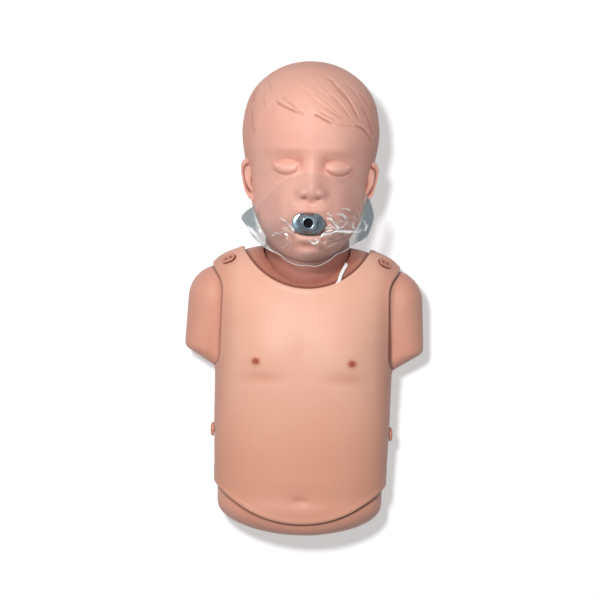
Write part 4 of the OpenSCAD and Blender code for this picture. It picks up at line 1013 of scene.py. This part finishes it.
# Face shield: thin clear film over the nose and cheeks, held at the mouthpiece
filmShape = {"y": 79.0, "rings": 100, "columns": 320, "clear": 1.0, "holeX": 14.4, "holeY": 10.9}
filmEdge = [[-183.1, 69.7], [-174.9, 64.9], [-153.9, 54], [-130, 45], [-109, 45.5], [-89, 45], [-70, 45.7],
            [-42.7, 45.2], [-21.8, 54.9], [-11, 63.2], [0, 66], [17, 69.4], [34.1, 65.2], [55.3, 57.2],
            [73, 51.7], [101.5, 50], [142.9, 51.4], [163.9, 59.3], [176.9, 69.7], [185.1, 64.9]]
filmFolds = [  # path of each crease, half width, height, and the brightness of the painted highlight along it
    ([(-31.7, 83.5), (-25.3, 79.7), (-19.9, 75.9), (-15.6, 71.7), (-13.3, 65.8)], 1.5, 2.0, 1.0),
    ([(-25.3, 79.7), (-21, 80.5), (-16, 84)], 1.0, 1.2, 0.6), ([(-39.1, 60), (-33.1, 66.9), (-23, 69.1)], 1.0, 1.2, 0.5),
    ([(-64.6, 75.4), (-60.3, 70.6), (-54.8, 64.8), (-46.2, 57.3), (-38.6, 53.6)], 2.4, 2.2, 1.0),
    ([(-56, 73), (-50, 66), (-42, 62), (-34, 64)], 1.2, 1.4, 0.5),
    ([(-48.3, 57.3), (-37.8, 48.9), (-26, 41)], 1.4, 1.4, 0.7),
    ([(12.5, 61.3), (19.4, 66.9), (31.7, 69.3), (45.6, 71.6), (53.5, 70.4), (60, 75)], 1.4, 2.0, 1.0),
    ([(1.6, 59.6), (7.2, 56.9), (12.9, 61)], 1.7, 1.8, 1.0), ([(19.5, 83.6), (24.4, 81.8), (30.1, 76.5), (33.8, 71)], 1.5, 2.0, 1.0),
    ([(27.4, 88.1), (35.8, 86.8), (42.8, 82)], 1.7, 1.8, 1.0), ([(28.7, 79.1), (33.9, 81.7), (39.2, 79)], 1.2, 1.5, 0.8),
    ([(46.6, 65.8), (51.3, 61.6), (55.0, 56.3)], 1.1, 1.2, 0.6), ([(33.8, 71), (38, 76), (43, 82)], 1.0, 1.3, 0.55),
    ([(20, 89), (24, 85), (27.4, 88.1)], 0.9, 1.2, 0.7), ([(36, 64), (40, 69), (47, 71)], 1.0, 1.2, 0.5),
    ([(57, 84), (62, 78), (59, 70)], 1.2, 1.4, 0.7), ([(50, 96), (54, 88), (51, 78)], 1.1, 1.2, 0.35),
    ([(-36, 108), (-22, 98), (-14, 88)], 1.4, 0.9, 0.1), ([(24, 112), (36, 106), (50, 104)], 1.4, 0.9, 0.15),
    ([(20, 52), (27, 57), (36, 60)], 1.0, 1.1, 0.45), ([(-30, 50), (-20, 55), (-14, 62)], 1.0, 1.1, 0.4),
    ([(18, 72), (25, 75), (31, 72), (38, 76)], 1.0, 1.2, 0.8), ([(22, 60), (30, 62), (38, 66)], 0.9, 1.1, 0.5),
    ([(44, 90), (49, 84), (47, 76), (52, 72)], 1.2, 1.4, 0.65), ([(32, 92), (38, 94), (46, 91)], 1.1, 1.3, 0.6),
    ([(-44, 76), (-38, 70), (-36, 60)], 1.1, 1.2, 0.45), ([(-34, 90), (-29, 84), (-31.7, 76)], 1.0, 1.2, 0.45),
    ([(-24, 72), (-17, 66), (-9, 62)], 1.0, 1.2, 0.55), ([(-58, 84), (-52, 76), (-50, 66)], 1.2, 1.3, 0.4)]


def headTop(x, y):
    v = y - chinY - noseR
    a = np.degrees(np.arctan2(v, x))
    t = np.hypot(x, v) / smoothRows(outlineRows, foldAngle(a))
    _, _, z, _ = headPoint(a, np.minimum(t, 0.9), True)
    return z - np.maximum(0, t - 0.9) * 60


n, m = filmShape["rings"], filmShape["columns"]
a = np.linspace(-np.pi, np.pi, m, endpoint=False)
r = smoothRows(filmEdge, np.degrees(a)) * (1 + 0.008 * np.sin(9 * a + 1) + 0.006 * np.sin(17 * a))
edge = np.stack([r * np.cos(a), r * np.sin(a)], 1)
hole = np.stack([filmShape["holeX"] * np.cos(a), filmShape["holeY"] * np.sin(a)], 1)
share = np.linspace(0, 1, n)[:, None]
X = blendTo(hole[None, :, 0], edge[None, :, 0], share)
Y = blendTo(hole[None, :, 1], edge[None, :, 1], share) + filmShape["y"]
near = [headTop(X + dx, Y + dy) for dx in (-6, 0, 6) for dy in (-6, 0, 6)]
seat, d = top + 0.3, np.hypot(X, Y - mouthShape["y"])
Z = np.maximum(np.max(near, axis=0) + filmShape["clear"] + 0.2, np.where(d < 27, seat, seat - (d - 27) * 0.8))
folds = np.zeros_like(Z)
paintedHighlight = np.zeros_like(Z)
bendX, bendY = (k + 0.9 * waveNoise(X * 0.3, Y * 0.3, 30 + n, 2) for n, k in ((1, 0.5), (2, -0.5)))
# painted highlights along the creases, then in patches
for path, w, h, bright in filmFolds:
    folds += h * strokeMask(X, Y, path, w * 1.5)
    uneven = 0.8 + 0.35 * waveNoise(X * 0.35, Y * 0.35, 33, 1)
    paintedHighlight = np.maximum(paintedHighlight, bright * uneven * strokeMask(X + bendX, Y + bendY, path, w * 1.05))
hazeHighlight = 0.5 * bell(X - 35, 11) * bell(Y - 78, 8) + 0.3 * bell(X + 50, 11) * bell(Y - 60, 8) \
    + 0.25 * bell(X + 24, 9) * bell(Y - 74, 8) + 0.3 * bell(X - 8, 9) * bell(Y - 60, 4)
paintedHighlight = np.maximum(paintedHighlight, hazeHighlight * (0.75 + 0.5 * waveNoise(X * 0.5, Y * 0.5, 37, 2)))
away = np.clip((d - 15) / 12, 0, 1)
ripple = 1.1 * waveNoise(X * 0.06, Y * 0.06, 12, 2) + 0.6 * waveNoise(X * 0.25, Y * 0.25, 5, 1) + 0.7
Z += away * (np.maximum(0, ripple) + folds)
low = Y < filmShape["y"]
# rimHighlight is a painted highlight in a band along the film's outer edge
values = {"paintedHighlight": np.clip(paintedHighlight, 0, 1).ravel(),
          "rimHighlight": (bell(share - 1 + 0 * X, 0.026) * (0.3 + 0.7 * easeStep((70 - Y) / 12))).ravel(),
          "beyond": np.clip((np.abs(X) - 0.20 * (Y - 60) - 46) / 6, 0, 1).ravel(),
          "grey": (easeStep((92 - Y) / 30) * easeStep((np.hypot(X / 1.25, Y - 66) - 10) / 12)
                   * (0.8 + 0.3 * waveNoise(X * 0.09, Y * 0.09, 21, 2))).ravel()}
pts = np.stack([X, Y, Z], -1).reshape(-1, 3)
filmMaterial = bpy.data.materials.new("clearFilm")
filmMaterial.use_nodes = True
tree = filmMaterial.node_tree
shader = tree.nodes["Principled BSDF"]
shader.inputs["Specular IOR Level"].default_value = 0.7
shader.inputs["IOR"].default_value = 1.5
# the white tint and high alpha of paintedHighlight and rimHighlight are painted highlights
filmTint = {"clear": (170, 174, 174), "grey": (104, 84, 78), "beyond": (72, 98, 104), "paintedHighlight": (252, 252, 252)}
filmAlpha = {"clear": 0.08, "grey": 0.46, "beyond": 0.8, "rimHighlight": 0.75, "paintedHighlight": 1.0}
colour, alpha = None, None
for k, key in enumerate(("grey", "beyond", "rimHighlight", "paintedHighlight")):
    source = addNode(tree, "Attribute", (-1200, 300 - 240 * k), attribute_name=key)
    mark = placeGroup(tree, softMark, (-960, 300 - 240 * k), From=0.12, To=0.95,
                      Ragged=0.5 if key == "paintedHighlight" else 0.25, Amount=1.0)
    tree.links.new(source.outputs["Fac"], mark.inputs["Value"])
    tone = addNode(tree, "Mix", (-640 + 90 * k, 300), data_type="RGBA")
    tone.inputs["B"].default_value = plainLinear(filmTint["paintedHighlight" if key == "rimHighlight" else key])
    level = addNode(tree, "Mix", (-640 + 90 * k, 0), data_type="FLOAT")
    level.inputs["B"].default_value = filmAlpha[key]
    tree.links.new(mark.outputs["Mask"], tone.inputs["Factor"])
    tree.links.new(mark.outputs["Mask"], level.inputs["Factor"])
    if colour is None:
        tone.inputs["A"].default_value = plainLinear(filmTint["clear"])
        level.inputs["A"].default_value = filmAlpha["clear"]
    else:
        tree.links.new(colour, tone.inputs["A"])
        tree.links.new(alpha, level.inputs["A"])
    colour, alpha = tone.outputs["Result"], level.outputs["Result"]
tree.links.new(colour, shader.inputs["Base Color"])
tree.links.new(alpha, shader.inputs["Alpha"])
cloud = placeGroup(tree, grain, (-640, 560), Grain_Size=120.0, Wave_Size=26.0, Grain=0.2, Roughness=0.12,
                   Variation=0.06)
tree.links.new(cloud.outputs["Roughness"], shader.inputs["Roughness"])
bump = setInputs(addNode(tree, "Bump", (-200, -420)), Strength=0.35, Distance=0.0015)
tree.links.new(cloud.outputs["Height"], bump.inputs["Height"])
tree.links.new(bump.outputs["Normal"], shader.inputs["Normal"])
filmPiece = newPiece("faceFilm", pts, gridFaces(n, m, True), "head", filmMaterial, values=values)
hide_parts("face_shield")

# Torn strip of the film, lying over the neckline, painted white as a highlight along its length
tailPath = np.array([(41.5, 39.0), (40.2, 36.1), (37.8, 29.8), (34.8, 23.4), (32.6, 18.0), (30.2, 12.8)])
k = np.linspace(0, len(tailPath) - 1, 44)
line = np.stack([np.interp(k, np.arange(len(tailPath)), tailPath[:, i]) for i in (0, 1)], 1)
line[:, 0] += 0.5 * np.sin(k * 2.2)
rows = []
for across in (-1.7, -1.2, -0.4, 0.4, 1.2, 1.7):
    x, y = line[:, 0] + 0.88 * across, line[:, 1] - 0.44 * across
    ball = pivotZ + np.sqrt(np.maximum(1, neckR ** 2 - x * x - (y - pivotY) ** 2))
    z = softMax(ball + 1.0, trunkZ(x, y) + 3.6, 1.5) + 0.7 - 0.5 * bell(across, 0.9)
    rows.append(np.stack([x, y, z], 1))
pts = np.array(rows).reshape(-1, 3)
values = {"paintedHighlight": np.full(len(pts), 0.9), "rimHighlight": np.ones(len(pts)), "beyond": np.zeros(len(pts)), "grey": np.zeros(len(pts))}
newPiece("filmTail", pts, gridFaces(6, 44), "torso", filmMaterial, values=values)
print("film is made")

# Shoulder studs: rounded ovals with two finger holes
studShape = {"x": 79.0, "y": 37.0, "width": 17.0, "length": 11.0, "rise": 2.6, "seat": 3.7, "turn": 14.0}


def slopeAngles():
    x, y = studShape["x"], studShape["y"]
    pitch = math.atan((trunkZ(x, y + 2) - trunkZ(x, y - 2)) / 4)
    bank = math.atan((trunkZ(x - 2, y) - trunkZ(x + 2, y)) / 4)
    return pitch, bank


def placeOnShoulder(p, side):
    pitch, bank = slopeAngles()
    c, s = math.cos(math.radians(side * studShape["turn"])), math.sin(math.radians(side * studShape["turn"]))
    x, y, z = p[:, 0] * c - p[:, 1] * s, p[:, 0] * s + p[:, 1] * c, p[:, 2]
    c, s = math.cos(side * bank), math.sin(side * bank)
    x, z = x * c + z * s, -x * s + z * c
    c, s = math.cos(pitch), math.sin(pitch)
    y, z = y * c - z * s, y * s + z * c
    return np.stack([x + side * studShape["x"], y + studShape["y"],
                     z + float(trunkZ(studShape["x"], studShape["y"]))], 1)


for side, label in ((-1, "Left"), (1, "Right")):
    n = 96
    oval = stadium(studShape["width"], studShape["length"], n)
    rise, low = studShape["rise"], studShape["seat"] + 0.3
    rows, marks = [], []
    for grow, z in ((0.94, 0.0), (1.0, 0.15), (1.0, 1.5), (0.985, 2.1), (0.95, 2.45), (0.9, 2.6)):
        rows.append(np.column_stack([oval * grow, np.full(n, low + z)]))
    for k in np.linspace(0.87, 0.02, 34):
        q = oval * k
        hole = np.maximum(bell(np.hypot(q[:, 0] - 3.2, q[:, 1]) / 1.35, 1) ** 3, bell(np.hypot(q[:, 0] + 3.2, q[:, 1]) / 1.35, 1) ** 3)
        dish = 0.25 * easeStep((0.8 - k) / 0.2)
        rows.append(np.column_stack([q, low + rise - dish - 1.6 * np.clip(hole * 1.6, 0, 1)]))
    pts, quads = ringBand(rows)
    hole = np.minimum(np.hypot(pts[:, 0] - 3.2, pts[:, 1]), np.hypot(pts[:, 0] + 3.2, pts[:, 1]))
    # painted shade in the two finger holes and round the stud's foot
    studShade = easeStep((2.1 - hole) / 0.9) * (pts[:, 2] > low + 0.2)
    studShade = np.maximum(studShade, 0.9 * easeStep((low + 2.2 - pts[:, 2]) / 0.5) * (np.hypot(pts[:, 0] / 8.5, pts[:, 1] / 5.5) > 0.8))
    a = np.linspace(0, 2 * np.pi, n, endpoint=False)
    shank = ringBand([np.column_stack([3 * np.cos(a), 3 * np.sin(a), np.full(n, z)]) for z in (-4.0, low + 0.2)])
    allPts = placeOnShoulder(np.vstack([pts, shank[0]]), side)
    allQuads = np.vstack([quads, shank[1] + len(pts)])
    stud = newPiece("shoulderStud" + label, allPts, allQuads, "torso", studMaterial,
                    values={"darkLineShade": np.concatenate([studShade, np.zeros(len(shank[0]))])})
    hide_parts("shoulder_button_" + label.lower())
print("studs are made")

# Lung bag: flat pillow with a sealed seam, on the chest plate
bagShape = {"length": 84.0, "thickness": 2.4, "gap": 0.6, "rings": 30, "columns": 96}
n, m = bagShape["rings"], bagShape["columns"]
a = np.linspace(0, 2 * np.pi, m, endpoint=False)
half = bagShape["length"] / 2
edge = np.stack([half * 0.96 * np.sign(np.cos(a)) * np.abs(np.cos(a)) ** (2 / 3.2),
                 half * np.sign(np.sin(a)) * np.abs(np.sin(a)) ** (2 / 3.2)], 1)
rows = []
for k in np.concatenate([np.linspace(0.02, 1, n), np.linspace(0.995, 0.02, n)]):
    x, y = edge[:, 0] * k, edge[:, 1] * k + pressY
    rows.append([x, y, k])
pts = []
for i, (x, y, k) in enumerate(rows):
    under = trunkZ(x, y) - bagShape["thickness"] - 0.3
    seam = easeStep((0.93 - k) / 0.08)
    puff = 0.3 + (bagShape["thickness"] - 0.9) * seam * (1 - 0.7 * k ** 4) + 0.12 * waveNoise(x * 0.2, y * 0.2, 7, 1) * seam
    pts.append(np.stack([x, y, under + (np.clip(puff, 0.3, 1.9) if i >= n else 0.0)], 1))
pts, quads = ringBand(pts)
bagPiece = newPiece("lungBag", pts, quads, "chest", tubeMaterial)
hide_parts("lung_bag")

# Spring under the chest plate, with closed end turns
springShape = {"radius": 18.0, "wire": 1.6, "low": 15.3, "high": 98.7, "turns": 6, "seat": 13.5, "keep": 0.56}
n, m = springShape["turns"] * 40 + 1, 12
k = np.linspace(0, 1, n)
turned, b = 2 * np.pi * springShape["turns"] * k, np.linspace(0, 2 * np.pi, m, endpoint=False)
mid = blendTo(springShape["low"], springShape["high"], blendTo(k, easeStep(k), 0.7))
out = springShape["radius"] + springShape["wire"] * np.cos(b)[None, :]
pts = np.stack([out * np.cos(turned)[:, None], out * np.sin(turned)[:, None] + pressY,
                mid[:, None] - springShape["wire"] * np.sin(b)[None, :]], -1).reshape(-1, 3)
ends = [list(range(m))[::-1], list(range((n - 1) * m, n * m))]
springPiece = newPiece("coilSpring", pts, gridFaces(n, m, True).tolist() + ends, "torso", steelMaterial)
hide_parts("compression_spring")
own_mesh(springPiece)
print("spring is made")

# Floor, lamps and the white behind
studio = {
    "floorColour": (204, 204, 206), "floorGlow": 0.52, "worldStrength": 0.06,
    "keyPower": 50.0, "keySize": 0.26, "keyPlace": (-0.36, 0.42, 2.3),
}
floorMesh = bpy.data.meshes.new("floor")
floorMesh.from_pydata([(-6, -6, 0), (6, -6, 0), (6, 6, 0), (-6, 6, 0)], [], [(0, 1, 2, 3)])
floor = bpy.data.objects.new("floor", floorMesh)
bpy.context.scene.collection.objects.link(floor)
floorMat = bpy.data.materials.new("paleFloor")
floorMat.use_nodes = True
tree = floorMat.node_tree
shader = tree.nodes["Principled BSDF"]
shader.inputs["Base Color"].default_value = plainLinear(studio["floorColour"])
shader.inputs["Roughness"].default_value = 0.9
shader.inputs["Specular IOR Level"].default_value = 0.1
glow = setInputs(addNode(tree, "Emission", (0, -300)), Color=(1, 1, 1, 1))
rays = addNode(tree, "LightPath", (-600, -300))
most1 = addNode(tree, "Math", (-400, -300), operation="MAXIMUM")
most2 = addNode(tree, "Math", (-240, -300), operation="MAXIMUM")
power = addNode(tree, "Math", (-100, -300), operation="MULTIPLY")
power.inputs[1].default_value = studio["floorGlow"]
tree.links.new(rays.outputs["Is Camera Ray"], most1.inputs[0])
tree.links.new(rays.outputs["Is Glossy Ray"], most1.inputs[1])
tree.links.new(most1.outputs[0], most2.inputs[0])
tree.links.new(rays.outputs["Is Transmission Ray"], most2.inputs[1])
tree.links.new(most2.outputs[0], power.inputs[0])
tree.links.new(power.outputs[0], glow.inputs["Strength"])
both = addNode(tree, "AddShader", (260, 0))
tree.links.new(shader.outputs[0], both.inputs[0])
tree.links.new(glow.outputs[0], both.inputs[1])
tree.links.new(both.outputs[0], tree.nodes["Material Output"].inputs["Surface"])
floor.data.materials.append(floorMat)

world = bpy.data.worlds.new("studio")
bpy.context.scene.world = world
world.use_nodes = True
tree = world.node_tree
back = tree.nodes["Background"]
back.inputs["Color"].default_value = (1, 1, 1, 1)
rays = addNode(tree, "LightPath", (-700, 200))
most1 = addNode(tree, "Math", (-500, 200), operation="MAXIMUM")
most2 = addNode(tree, "Math", (-340, 200), operation="MAXIMUM")
level = setInputs(addNode(tree, "MapRange", (-180, 200)))
level.inputs["To Min"].default_value, level.inputs["To Max"].default_value = studio["worldStrength"], 1.0
tree.links.new(rays.outputs["Is Camera Ray"], most1.inputs[0])
tree.links.new(rays.outputs["Is Glossy Ray"], most1.inputs[1])
tree.links.new(most1.outputs[0], most2.inputs[0])
tree.links.new(rays.outputs["Is Transmission Ray"], most2.inputs[1])
tree.links.new(most2.outputs[0], level.inputs["Value"])
tree.links.new(level.outputs["Result"], back.inputs["Strength"])


def addLamp(name, power, size, place, aim=(0, 0, 0.06)):
    data = bpy.data.lights.new(name, "AREA")
    data.energy, data.shape, data.size = power, "DISK", size
    lamp = bpy.data.objects.new(name, data)
    bpy.context.scene.collection.objects.link(lamp)
    lamp.location = place
    d = np.array(aim) - np.array(place)
    lamp.rotation_euler = (math.atan2(math.hypot(d[0], d[1]), -d[2]), 0, math.atan2(d[1], d[0]) - math.pi / 2)
    return lamp


addLamp("keyLamp", studio["keyPower"], studio["keySize"], studio["keyPlace"])
bpy.context.scene.view_settings.view_transform = "Standard"
print("studio is set")
